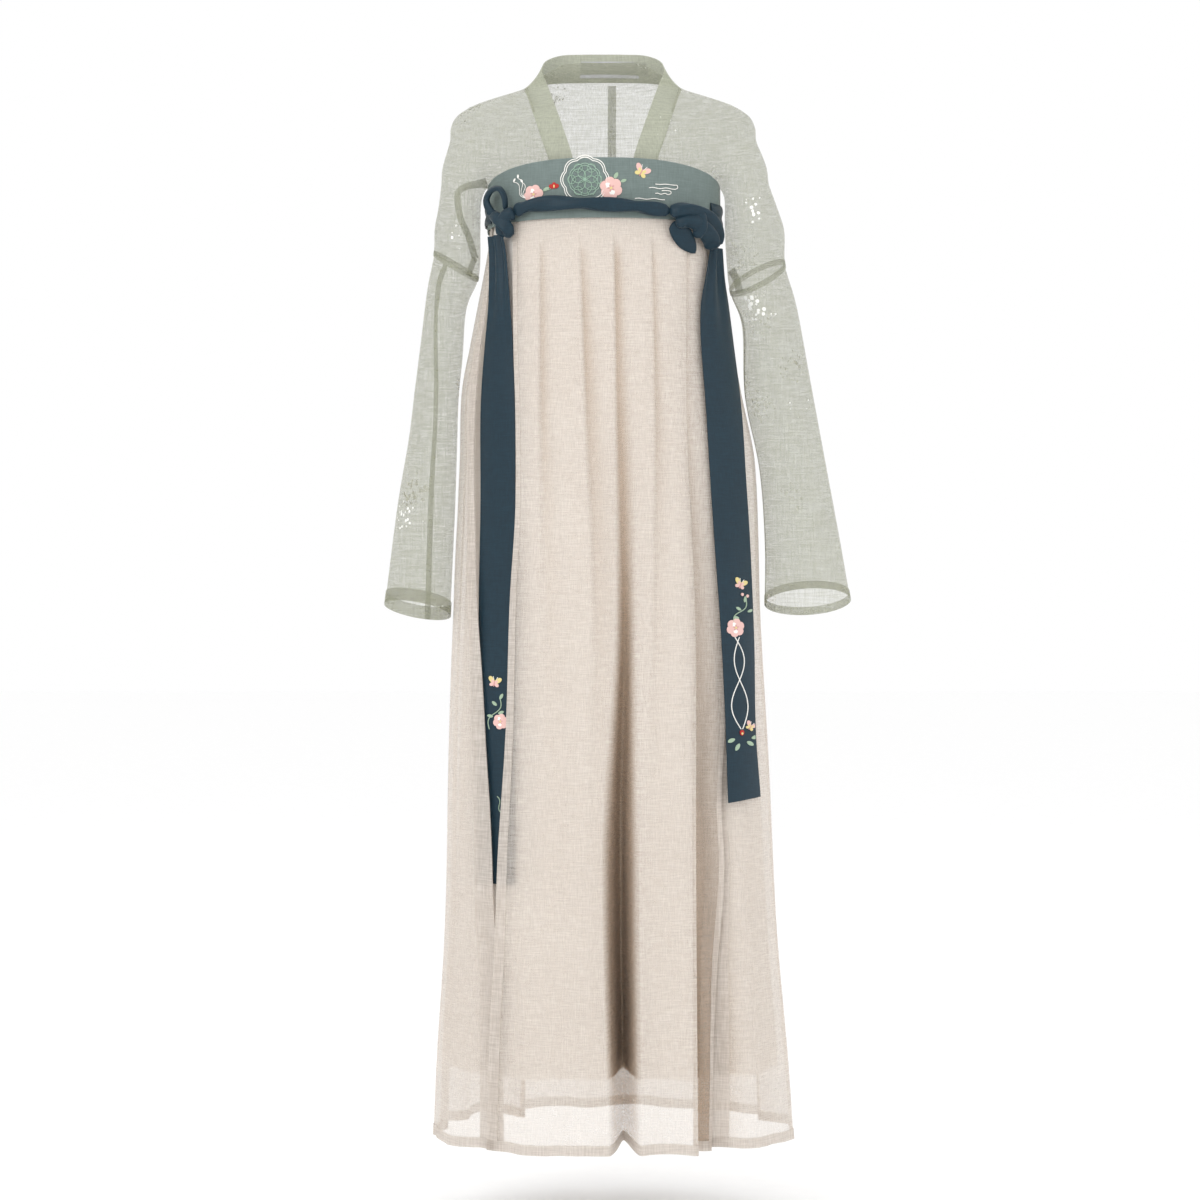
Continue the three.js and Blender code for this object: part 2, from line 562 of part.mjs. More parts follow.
const SHORT_END = [
  { left: 78, right: 96, z: -160 },
  { left: 84, right: 106, z: -171 },
  { left: 92, right: 114, z: -181 },
  { left: 102, right: 117, z: -190 },
  { left: 112, right: 117, z: -196 },
];
const SHORT_END_OUT = 5.2;
add(
  "tie_short_end_right",
  wall(
    SHORT_END.map((row) =>
      [0, 0.5, 1].map((part) => onBand(THREE.MathUtils.lerp(row.left, row.right, part), row.z, SHORT_END_OUT))
    ),
    TIE_WALL
  ),
  cloth.tieTeal
);

function tail(rows, count) {
  const top = rows[0].z;
  const bottom = rows[rows.length - 1].z;
  const grid = [0, 0.5, 1].map((across) =>
    steps(count).map((down) => {
      const z = top + (bottom - top) * down;
      const x = THREE.MathUtils.lerp(column(rows, "left", z), column(rows, "right", z), across);
      return tailPoint(x, z, column(rows, "out", z));
    })
  );
  return wall(grid, TIE_WALL);
}
// A tail hangs over the pleats without following their depth
function tailPoint(x, z, out) {
  const angle = frontAngle(x, z);
  return skirtPoint(angle, z, out + pleatDepth(angle, z));
}
add("tie_tail_left", tail(LEFT_TAIL, 18), cloth.tieTeal);
add("tie_tail_right", tail(RIGHT_TAIL, 16), cloth.tieTeal);

// Blouse body: torso and upper arms joined, hollowed, and cut open at neck, front, hem and sleeve seam
const BODY_AROUND = 24;
const ARM_AROUND = 14;

function bodySection(z, inward) {
  const get = (name) => column(BODY_SECTIONS, name, z);
  return [get("halfWidth") - inward, get("front") - inward, get("back") - inward, get("power")];
}
function torso(inward, extra) {
  const rings = BODY_SECTIONS.map((row, k) => {
    const atEnd = k === 0 || k === BODY_SECTIONS.length - 1;
    const beyond = atEnd ? extra * (k === 0 ? 1 : -1) : -inward;
    return steps(BODY_AROUND)
      .slice(0, BODY_AROUND)
      .map((around) => {
        const [x, y] = sectionPoint(around * 2 * Math.PI, ...bodySection(row.z, inward));
        return new THREE.Vector3(x, y, row.z + beyond);
      });
  });
  return toSolid(loft(rings));
}

function armRing(row, side, inward, down = 0) {
  return steps(ARM_AROUND)
    .slice(0, ARM_AROUND)
    .map((around) => {
      const a = around * 2 * Math.PI;
      const outward = Math.cos(a) * (row.halfWidth - inward);
      const back = Math.sin(a) * (row.halfDepth - inward);
      const z = row.z + outward * row.rise + back * row.lean - down;
      return new THREE.Vector3(side * (row.out + outward), back, z);
    });
}
function upperArm(rows, side, inward, extra) {
  const rings = rows.slice(0, SLEEVE_SEAM_ROW + 1).map((row) => armRing(row, side, inward));
  if (extra) rings.push(armRing(rows[SLEEVE_SEAM_ROW], side, inward, extra));
  return toSolid(loft(rings));
}

const HOLLOW_PAST_EDGE = 12;
const outside = torso(0, 0).add(upperArm(RIGHT_ARM, 1, 0, 0)).add(upperArm(LEFT_ARM, -1, 0, 0));
const hollow = torso(SHEER_WALL, HOLLOW_PAST_EDGE)
  .add(upperArm(RIGHT_ARM, 1, SHEER_WALL, HOLLOW_PAST_EDGE))
  .add(upperArm(LEFT_ARM, -1, SHEER_WALL, HOLLOW_PAST_EDGE));

// The front opening follows the collar's seam edge, and the back neck is cut along a slope
const seamEdge = [
  ...COLLAR.map((row) => [row.seamX + SEAM_GAP, row.seamZ]),
  [COLLAR_NECK[0].seamX + SEAM_GAP, COLLAR_NECK[0].seamZ],
  [COLLAR_NECK[1].seamX + SEAM_GAP, COLLAR_NECK[1].seamZ],
];
const opening = new THREE.Shape();
opening.moveTo(-seamEdge[0][0], BLOUSE_HEM_Z - 20);
opening.lineTo(seamEdge[0][0], BLOUSE_HEM_Z - 20);
for (const [x, z] of seamEdge) opening.lineTo(x, z);
opening.lineTo(seamEdge[seamEdge.length - 1][0], 120);
opening.lineTo(-seamEdge[seamEdge.length - 1][0], 120);
for (const [x, z] of [...seamEdge].reverse()) opening.lineTo(-x, z);
const FRONT_REACH = 200;
const openingPrism = new THREE.ExtrudeGeometry(opening, { depth: FRONT_REACH, bevelEnabled: false });
openingPrism.rotateX(Math.PI / 2);
openingPrism.translate(0, 8, 0);

const neckSlope = new THREE.Shape();
neckSlope.moveTo(7.9, 28);
neckSlope.lineTo(110, 59.6);
neckSlope.lineTo(110, 140);
neckSlope.lineTo(7.9, 140);
const neckPrism = new THREE.ExtrudeGeometry(neckSlope, { depth: 2 * FRONT_REACH, bevelEnabled: false });
neckPrism.rotateX(Math.PI / 2);
neckPrism.rotateZ(Math.PI / 2);
neckPrism.translate(FRONT_REACH, 0, 0);

const blouse = outside.subtract(hollow).subtract(toSolid(openingPrism)).subtract(toSolid(neckPrism));
const FAR = 600;
const leftSide = box([-FAR, -FAR, -FAR], [0, 0, FAR]).add(box([-FAR, -1, -FAR], [CENTRE_BACK_X - SEAM_GAP / 2, FAR, FAR]));
const rightSide = box([0, -FAR, -FAR], [FAR, 0, FAR]).add(box([CENTRE_BACK_X + SEAM_GAP / 2, -1, -FAR], [FAR, FAR, FAR]));
add("blouse_body_left", fromSolid(blouse.intersect(leftSide)), cloth.sheerGreen);
add("blouse_body_right", fromSolid(blouse.intersect(rightSide)), cloth.sheerGreen);

// Sleeve extensions: tubes from the seam to the cuff
function sleeve(rows, side) {
  const lower = rows.slice(SLEEVE_SEAM_ROW);
  const inward = SHEER_WALL / 2;
  const rings = lower.map((row, k) => armRing(row, side, inward, k === 0 ? SEAM_GAP + 0.4 : 0));
  const grid = rings[0].map((_, i) => rings.map((ring) => ring[i]));
  return wall(grid, SHEER_WALL, true);
}
add("sleeve_left", sleeve(LEFT_ARM, -1), cloth.sheerGreen);
add("sleeve_right", sleeve(RIGHT_ARM, 1), cloth.sheerGreen);

// Collar band: lies on the fronts, then stands up round the back of the neck
function bodyFrontY(x, z) {
  const [halfWidth, front, , power] = bodySection(z, 0);
  const across = Math.min(Math.abs(x) / halfWidth, 1);
  return -front * (1 - across ** power) ** (1 / power);
}
const COLLAR_OUT = 0.2;
function collarRow(row, side) {
  const edge = (name) => {
    const x = row[name + "X"];
    const z = row[name + "Z"];
    const lift = name === "neck" ? row.lift : 0;
    const y = row[name + "Y"] ?? bodyFrontY(x, z) - COLLAR_OUT - lift;
    return new THREE.Vector3(side * x, y, z);
  };
  const neck = edge("neck");
  const seam = edge("seam");
  return [0, 0.5, 1].map((part) => neck.clone().lerp(seam, part));
}
const collarRows = [...COLLAR, ...COLLAR_NECK];
const collarGrid = [
  ...collarRows.map((row) => collarRow(row, -1)),
  ...collarRows.slice(0, -1).reverse().map((row) => collarRow(row, 1)),
];
add("collar_band", wall(collarGrid, SHEER_WALL), cloth.collarGreen);

// Bare woven label and a small tab beside it, inside the back of the collar
const LABEL_WALL = 1;
const LABEL_IN = 1.6;
function insideCollar(x, down) {
  const line = collarRows.map((row) => {
    const [neck, , seam] = collarRow(row, 1);
    return neck.lerp(seam, down);
  });
  let k = line.length - 2;
  while (k > 0 && line[k].x < Math.abs(x)) k -= 1;
  const part = (Math.abs(x) - line[k + 1].x) / (line[k].x - line[k + 1].x);
  const point = line[k + 1].clone().lerp(line[k], part);
  return new THREE.Vector3(x, point.y - LABEL_IN, point.z);
}
function label(places, topPart, bottomPart) {
  return wall(places.map((x) => [topPart, bottomPart].map((down) => insideCollar(x, down))), LABEL_WALL);
}
add("neck_label", label([-28, -14, 0, 15, 29, 36, 44], 0.26, 0.84), cloth.labelWhite);
add("size_tab", label([45.5, 50, 55.5], 0.3, 0.76), cloth.labelWhite);

export default group;
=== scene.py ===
import math

import bmesh
import bpy
import numpy as np
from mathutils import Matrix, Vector
from mathutils.bvhtree import BVHTree


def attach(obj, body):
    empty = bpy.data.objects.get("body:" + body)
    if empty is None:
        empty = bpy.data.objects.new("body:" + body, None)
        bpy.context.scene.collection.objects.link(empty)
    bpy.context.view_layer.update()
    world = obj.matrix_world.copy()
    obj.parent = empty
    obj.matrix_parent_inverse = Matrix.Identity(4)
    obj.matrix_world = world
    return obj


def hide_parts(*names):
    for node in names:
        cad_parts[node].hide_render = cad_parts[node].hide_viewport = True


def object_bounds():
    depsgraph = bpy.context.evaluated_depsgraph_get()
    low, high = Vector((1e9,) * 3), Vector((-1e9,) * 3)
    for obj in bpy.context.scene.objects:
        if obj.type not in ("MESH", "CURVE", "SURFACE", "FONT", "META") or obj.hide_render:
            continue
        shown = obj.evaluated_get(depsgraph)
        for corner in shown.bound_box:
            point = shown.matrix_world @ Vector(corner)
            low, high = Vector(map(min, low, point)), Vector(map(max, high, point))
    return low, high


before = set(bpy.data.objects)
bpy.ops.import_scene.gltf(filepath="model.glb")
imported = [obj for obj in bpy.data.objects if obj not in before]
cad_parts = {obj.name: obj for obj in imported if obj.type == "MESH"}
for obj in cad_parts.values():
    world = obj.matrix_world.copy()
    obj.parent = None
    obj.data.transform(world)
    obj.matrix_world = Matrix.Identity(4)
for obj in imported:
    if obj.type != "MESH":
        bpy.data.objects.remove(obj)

bl_info = {
    "name": "Ruqun Set",
    "version": (1, 0, 0),
    "blender": (4, 5, 0),
    "location": "View3D > Sidebar > Ruqun",
    "description": "A sheer blouse under a chest-high pleated skirt, filled out as if worn",
    "category": "Add Mesh",
}

CAD_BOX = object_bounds()
MM = 0.001

# Tables of the set's form, in millimetres. Each has named columns, and rows that run down in z.
SKIRT_COLUMNS = ("z", "half_width", "half_depth", "centre", "power")
SKIRT_ROWS = (
    (-60, 148.5, 105, 1, 2.4),
    (-165, 148.5, 105, 1, 2.4),
    (-200, 152, 109, 0, 2.35),
    (-300, 169, 117, -2, 2.3),
    (-368, 181, 122, -2, 2.3),
    (-461, 191, 128, 6, 2.3),
    (-658, 199, 139, 6, 2.25),
    (-845, 208, 150, 8, 2.2),
    (-1057, 216, 159, 11, 2.2),
    (-1228, 228, 166, 13, 2.2),
    (-1326, 233, 171, 14, 2.2),
)
LEVELS = (-165, -400, -660, -950, -1326)
# Front pleats give x at each level, back pleats the angle round from +X in degrees. Then the depth, and the
# reach on the steep near side and on the easy far side.
FRONT_PLEATS = (
    ((-79, -79, -69, -62, -60), (3, 6, 5, 4, 4), (2, 3, 12, 26, 34), (14, 20, 34, 50, 60)),
    ((-29, -20, -6, -2, 0), (3, 7, 7, 5, 4), (2, 3, 7, 20, 30), (14, 20, 26, 26, 20)),
    ((15, 20, 28, 25, 29), (4, 9, 24, 60, 100), (2, 4, 9, 18, 14), (14, 16, 12, 16, 14)),
    ((63, 68, 69, 70, 72), (3, 6, 5, 4, 4), (2, 3, 7, 18, 24), (14, 18, 30, 36, 40)),
    ((108, 108, 121, 123, 124), (3, 5, 12, 22, 34), (2, 3, 6, 7, 6), (12, 14, 40, 70, 90)),
)
BACK_PLEATS = (
    ((-6, -5, -4, -3, -2), (1, 2, 3, 4, 5), (5, 8, 14, 22, 26), (10, 14, 18, 24, 30)),
    ((32, 30, 27, 25, 24), (3, 6, 9, 16, 24), (3, 5, 16, 30, 40), (12, 18, 24, 34, 44)),
    ((62, 60, 58, 57, 57), (3, 7, 13, 28, 44), (2, 4, 10, 16, 20), (13, 18, 20, 24, 26)),
    ((88, 90, 93, 95, 96), (3, 6, 8, 12, 16), (2, 4, 16, 30, 38), (13, 16, 26, 38, 46)),
    ((114, 118, 121, 124, 126), (3, 8, 16, 34, 52), (2, 4, 10, 18, 20), (13, 16, 18, 22, 26)),
    ((142, 145, 148, 150, 152), (3, 6, 8, 12, 18), (3, 5, 16, 28, 38), (12, 16, 26, 36, 44)),
    ((171, 171, 174, 176, 178), (2, 4, 6, 10, 14), (4, 7, 16, 26, 36), (10, 14, 22, 30, 36)),
)
EDGE_COLUMNS = ("z", "x")
FRONT_LEFT_EDGE = (
    (-60, -115), (-165, -115), (-311, -113), (-403, -110), (-525, -110), (-640, -117),
    (-800, -122), (-950, -131), (-1070, -135), (-1190, -142), (-1326, -146),
)
BACK_LEFT_EDGE = (
    (-60, -141), (-228, -145), (-311, -156), (-403, -163), (-525, -163), (-640, -158),
    (-805, -149), (-900, -142), (-1000, -138), (-1045, -139), (-1110, -130), (-1326, -126),
)
FRONT_RIGHT_EDGE = (
    (-60, 128), (-165, 128), (-255, 141), (-575, 163), (-893, 153), (-970, 157), (-1100, 152), (-1326, 148),
)
BACK_RIGHT_TUCK = ((-60, -3), (-260, -3), (-400, 15), (-1326, 16))
TAIL_COLUMNS = ("z", "left", "right", "out")
LEFT_TAIL = (
    (-172, -138, -120, 9),
    (-200, -139, -118, 6),
    (-262, -145, -117, 1),
    (-311, -153, -116, -3.5),
    (-403, -160, -113, -5.2),
    (-525, -160, -113, -5.2),
    (-640, -161, -112, -5.2),
    (-994, -162, -113, -5.4),
)
RIGHT_TAIL = (
    (-186, 131, 145, 7),
    (-225, 126, 149, 6),
    (-261, 121, 156, 5),
    (-311, 121, 163, 5),
    (-390, 127, 172, 5),
    (-474, 132, 178, 5),
    (-574, 138, 185, 5),
    (-682, 145, 189, 5),
    (-801, 151, 190, 5),
    (-890, 154, 197, 5),
)
BODY_COLUMNS = ("z", "half_width", "front", "back", "power")
BODY_ROWS = (
    (62, 52, 20, 66, 2),
    (49, 74, 26, 77, 2),
    (40, 89, 32, 81, 2),
    (27, 103, 38, 85, 2),
    (14, 143, 50, 88, 2),
    (4, 171, 59, 90, 2),
    (-13, 194, 71, 93, 2),
    (-40, 198, 84, 95, 2),
    (-60, 184, 92, 97, 2.1),
    (-78, 156, 96, 98, 2.2),
    (-92, 143.5, 97, 98, 2.4),
    (-165, 143, 97, 97, 2.4),
    (-300, 146, 95, 97, 2.3),
    (-480, 152, 96, 99, 2.3),
)
ARM_COLUMNS = ("z", "out", "half_width", "half_depth", "rise", "lean")
RIGHT_ARM = (
    (-48, 161, 37, 48, 0.25, 0),
    (-84, 178, 35, 54, 0.2, 0),
    (-103, 186, 29, 55, 0.25, 0.02),
    (-138, 192, 34, 56, 0.36, 0.12),
    (-175, 198, 38, 55, 0.46, 0.25),
    (-219, 201, 36, 52, 0.52, 0.3),
    (-268, 216, 36, 52, 0.4, 0.3),
    (-361, 227, 43, 49, 0.25, 0.25),
    (-460, 246, 43, 46, 0.16, 0.25),
    (-560, 259, 49, 42, 0.1, 0.35),
    (-639, 266, 56, 38, 0.07, 0.45),
)
LEFT_ARM = (
    (-48, 161, 37, 48, 0.25, 0),
    (-84, 176, 33, 54, 0.2, 0),
    (-103, 183, 27, 55, 0.25, 0),
    (-139, 187, 27, 56, 0.38, 0.05),
    (-170, 189, 30, 56, 0.5, 0.1),
    (-204, 191, 29, 54, 0.6, 0.15),
    (-247, 203, 26, 54, 0.5, 0.15),
    (-315, 210, 28, 53, 0.3, 0.15),
    (-369, 216, 29, 52, 0.25, 0.15),
    (-433, 221, 32, 51, 0.2, 0.15),
    (-523, 230, 38, 50, 0.18, 0.18),
    (-650, 241, 43, 48, 0.2, 0.2),
)
SEAM_ROW = 5
COLLAR_FRONT = (  # neck edge x and z, seam edge x and z, and how far the neck edge stands off the body
    (3, -480, 39, -480, 0),
    (3, -360, 39, -360, 0),
    (4, -250, 40, -252, 0),
    (20, -150, 53, -153, 0),
    (38, -79, 68, -84, 1),
    (49, -43, 79, -49, 3),
    (60, -10, 89, -17, 5),
)
COLLAR_NECK = (  # neck edge x, y and z, then seam edge x, y and z
    (72, -14, 30, 97, -20, 12),
    (79, 4, 51, 101.5, 8, 28.5),
    (75, 30, 69, 88, 42, 39),
    (56, 62, 83, 62, 68, 47),
    (29, 75, 87, 32, 79, 50),
    (0, 79, 88, 0, 83, 51),
)
HEM_Z = -1326
LINING_HEM_Z = -1235
SKIRT_TOP_Z = -112
BAND_TOP = (-79, -107)  # at the front and at the sides
BAND_BOTTOM = (-155, -161)
BAND_OUT = 2.6
TIE_Z = -140
BLOUSE_HEM_Z = -480
CENTRE_BACK_X = 12
TUCK_DEPTH = 6
CLOTH = 0.5  # thickness of sheer cloth


def table(columns, rows):
    """Named columns as arrays, from a table of rows."""
    values = np.array(rows, float).T
    return dict(zip(columns, values))


SKIRT = table(SKIRT_COLUMNS, SKIRT_ROWS)
BODY = table(BODY_COLUMNS, BODY_ROWS)
ARMS = {"left": table(ARM_COLUMNS, LEFT_ARM), "right": table(ARM_COLUMNS, RIGHT_ARM)}
TAILS = {"left": table(TAIL_COLUMNS, LEFT_TAIL), "right": table(TAIL_COLUMNS, RIGHT_TAIL)}
EDGES = {
    "front_left": table(EDGE_COLUMNS, FRONT_LEFT_EDGE),
    "back_left": table(EDGE_COLUMNS, BACK_LEFT_EDGE),
    "front_right": table(EDGE_COLUMNS, FRONT_RIGHT_EDGE),
    "tuck": table(EDGE_COLUMNS, BACK_RIGHT_TUCK),
}


def smooth(t):
    """0 to 1 with easy ends."""
    t = np.clip(t, 0, 1)
    return t * t * (3 - 2 * t)


def curve(zs, values, z):
    """A smooth curve through values at falling heights zs, at the heights z."""
    z = np.asarray(z, float)
    i = np.clip(np.searchsorted(-zs, -z, side="right") - 1, 0, len(zs) - 2)
    span = zs[i + 1] - zs[i]
    t = np.clip((z - zs[i]) / span, 0, 1)
    last = len(zs) - 1
    k = np.arange(len(zs))
    before, after = np.maximum(k - 1, 0), np.minimum(k + 1, last)
    slopes = (values[after] - values[before]) / (zs[after] - zs[before])
    t2, t3 = t * t, t * t * t
    held = values[i] * (2 * t3 - 3 * t2 + 1) + values[i + 1] * (3 * t2 - 2 * t3)
    return held + span * (slopes[i] * (t3 - 2 * t2 + t) + slopes[i + 1] * (t3 - t2))


def column(rows, name, z):
    return curve(rows["z"], rows[name], z)


def at_level(values, z):
    return curve(np.array(LEVELS, float), np.array(values, float), np.minimum(z, LEVELS[0]))


def signed_power(value, power):
    return np.sign(value) * np.abs(value) ** power


def front_angle(x, z):
    """The angle at which the front of the skirt has this x."""
    across = np.clip((x - column(SKIRT, "centre", z)) / column(SKIRT, "half_width", z), -0.9999, 0.9999)
    return -np.arccos(signed_power(across, column(SKIRT, "power", z) / 2))


def pleat_lines(z):
    """The angle of every pleat at the heights z, front ones first, with its depth and its two reaches."""
    found = []
    for places, depth, near, far in FRONT_PLEATS:
        found.append((front_angle(at_level(places, z), z), depth, near, far))
    for places, depth, near, far in BACK_PLEATS:
        found.append((np.radians(at_level(places, z)), depth, near, far))
    return found


def pleat_depth(angle, z):
    """How far the pleats pull the cloth in."""
    radius = (column(SKIRT, "half_width", z) + column(SKIRT, "half_depth", z)) / 2
    start = smooth((LEVELS[0] + 4 - z) / 45)
    total = np.zeros(np.broadcast(angle, z).shape)
    for line, depth, near, far in pleat_lines(z):
        away = (angle - line) * radius
        reach = np.where(away < 0, at_level(near, z), at_level(far, z))
        total = total + start * at_level(depth, z) * smooth(1 - np.abs(away) / reach)
    return total


def section_point(angle, half_width, half_front, half_back, power):
    c, s = np.cos(angle), np.sin(angle)
    x = half_width * signed_power(c, 2 / power)
    y = np.where(s < 0, half_front, half_back) * signed_power(s, 2 / power)
    return x, y


def skirt_point(angle, z, out, pleated=True):
    """Points of the skirt's outer cloth, moved out by so much: an array with x, y and z last."""
    angle, z, out = np.broadcast_arrays(np.asarray(angle, float), z, out)
    size = [column(SKIRT, name, z) for name in ("half_width", "half_depth", "half_depth", "power")]
    x, y = section_point(angle, *size)
    xa, ya = section_point(angle - 0.02, *size)
    xb, yb = section_point(angle + 0.02, *size)
    length = np.hypot(xb - xa, yb - ya)
    move = out - (pleat_depth(angle, z) if pleated else 0)
    x = column(SKIRT, "centre", z) + x + (yb - ya) / length * move
    return np.stack([x, y - (xb - xa) / length * move, z + 0 * x], -1)


def band_point(x, z, out):
    """Points in front of the chest band that have this x and z."""
    x, z, out = np.broadcast_arrays(np.asarray(x, float), z, out)
    low, high = np.full(x.shape, -math.pi), np.zeros(x.shape)
    for _ in range(26):
        middle = (low + high) / 2
        left = skirt_point(middle, TIE_Z + 0 * x, out, False)[..., 0] < x
        low, high = np.where(left, middle, low), np.where(left, high, middle)
    place = skirt_point(low, TIE_Z + 0 * x, out, False)
    place[..., 2] = z
    return place


def tail_point(x, z, out):
    """Points that lie over the skirt's pleats without following their depth."""
    return skirt_point(front_angle(x, z), z, out, False)


def ripple(angle, z, waves, reach, seed):
    """Small soft unevenness of hanging cloth, nothing at the band and fullest low down."""
    draw = np.random.default_rng(seed)
    total = 0
    for turns in waves:
        phase, drift, sway = draw.uniform(0, 6.28), draw.uniform(-0.004, 0.004), draw.uniform(2, 5)
        fade = 0.6 + 0.4 * np.sin(z / 170 * draw.uniform(0.6, 1.4) + draw.uniform(0, 6.28))
        total = total + np.sin(turns * angle + phase + drift * z + np.sin(z / 230 + sway)) * fade
    return reach * total / len(waves) * smooth((-170 - z) / 500)


# Meshes ----------------------------------------------------------------------------------------------


def pick_only(piece):
    """Selects one object and nothing else, and makes it active."""
    bpy.ops.object.select_all(action="DESELECT")
    piece.select_set(True)
    bpy.context.view_layer.objects.active = piece


def apply_modifier(piece, kind, **settings):
    pick_only(piece)
    modifier = piece.modifiers.new(kind.lower(), kind)
    for name, value in settings.items():
        setattr(modifier, name, value)
    bpy.ops.object.modifier_apply(modifier=modifier.name)


def cloth_grid(name, points, closed=False):
    """A grid primitive whose points are moved to an array of places [column, row, xyz] in millimetres."""
    columns, rows = points.shape[:2]
    bpy.ops.object.select_all(action="DESELECT")
    bpy.ops.mesh.primitive_grid_add(x_subdivisions=rows - 1, y_subdivisions=columns - 1, size=1)
    piece = bpy.context.object
    piece.name = name
    piece.data.name = name
    places = points.reshape(-1, 3) * MM
    piece.data.vertices.foreach_set("co", places.ravel())
    piece.data.update()
    if closed:
        edit = bmesh.new()
        edit.from_mesh(piece.data)
        bmesh.ops.remove_doubles(edit, verts=edit.verts, dist=1e-5)
        edit.to_mesh(piece.data)
        edit.free()
    return piece


def face_out(piece, centre=(0, 0)):
    """Turns an open sheet so that its faces look away from a vertical axis."""
    edit = bmesh.new()
    edit.from_mesh(piece.data)
    away = 0
    for face in edit.faces:
        middle = face.calc_center_median()
        from_axis = middle - Vector((*centre, middle.z))
        away += from_axis.dot(face.normal) * face.calc_area()
    if away < 0:
        bmesh.ops.reverse_faces(edit, faces=edit.faces)
    edit.to_mesh(piece.data)
    edit.free()


def set_attribute(piece, name, values):
    made = piece.data.attributes.new(name, "FLOAT", "POINT")
    made.data.foreach_set("value", np.asarray(values, np.float32).ravel())


def finish_piece(piece, material, nodes, angle=60):
    """Gives a piece its finish and its place in the frame, and hides the CAD nodes that it stands for."""
    pick_only(piece)
    bpy.ops.object.shade_smooth_by_angle(angle=math.radians(angle))
    if not piece.data.materials:
        piece.data.materials.append(material)
    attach(piece, "root")
    if nodes:
        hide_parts(*nodes)
    return piece


def thicken(piece, thickness, offset=-1):
    apply_modifier(piece, "SOLIDIFY", thickness=thickness * MM, offset=offset, use_even_offset=False)


def surface_area(piece):
    return sum(face.area for face in piece.data.polygons)


# Materials -------------------------------------------------------------------------------------------


def linear(hex_colour):
    """An sRGB hex colour as linear red, green, blue and 1."""
    values = [int(hex_colour[i : i + 2], 16) / 255 for i in (1, 3, 5)]
    return [v / 12.92 if v <= 0.04045 else ((v + 0.055) / 1.055) ** 2.4 for v in values] + [1]


def add_node(tree, kind, values=None, links=None, **settings):
    """Adds one node with its settings, its unlinked values and the sockets that feed it."""
    made = tree.nodes.new(kind)
    for name, value in settings.items():
        setattr(made, name, value)
    for socket, value in (values or {}).items():
        made.inputs[socket].default_value = value
    for socket, source in (links or {}).items():
        tree.links.new(source, made.inputs[socket])
    return made


def new_material(name):
    material = bpy.data.materials.new(name)
    material.use_nodes = True
    material.node_tree.nodes.clear()
    return material, material.node_tree


def slubs(tree, thick_mm, long_mm, place):
    """Uneven threads: long thin noise up and down, and the same across, added. Real threads are finer than
    can show, so these are the thicker slubs among them."""
    spots = []
    for scale in ((thick_mm, thick_mm, long_mm), (long_mm, long_mm, thick_mm)):
        per_metre = [1000 / size for size in scale]
        stretched = add_node(tree, "ShaderNodeMapping", {"Scale": per_metre}, {"Vector": place})
        noise = add_node(
            tree,
            "ShaderNodeTexNoise",
            {"Scale": 1, "Detail": 2, "Roughness": 0.6},
            {"Vector": stretched.outputs[0]},
        )
        spots.append(noise.outputs["Fac"])
    return add_node(tree, "ShaderNodeMath", {}, {0: spots[0], 1: spots[1]}, operation="ADD").outputs[0]


def ranged(tree, value, low, high, to_low, to_high):
    settings = {"From Min": low, "From Max": high, "To Min": to_low, "To Max": to_high}
    return add_node(tree, "ShaderNodeMapRange", settings, {"Value": value}).outputs["Result"]


def mixed(tree, factor, first, second):
    """A colour between two, each a hex colour or a socket."""
    values, links = {}, {0: factor}
    for place, colour in ((6, first), (7, second)):
        if isinstance(colour, str):
            values[place] = linear(colour)
        else:
            links[place] = colour
    return add_node(tree, "ShaderNodeMix", values, links, data_type="RGBA").outputs[2]


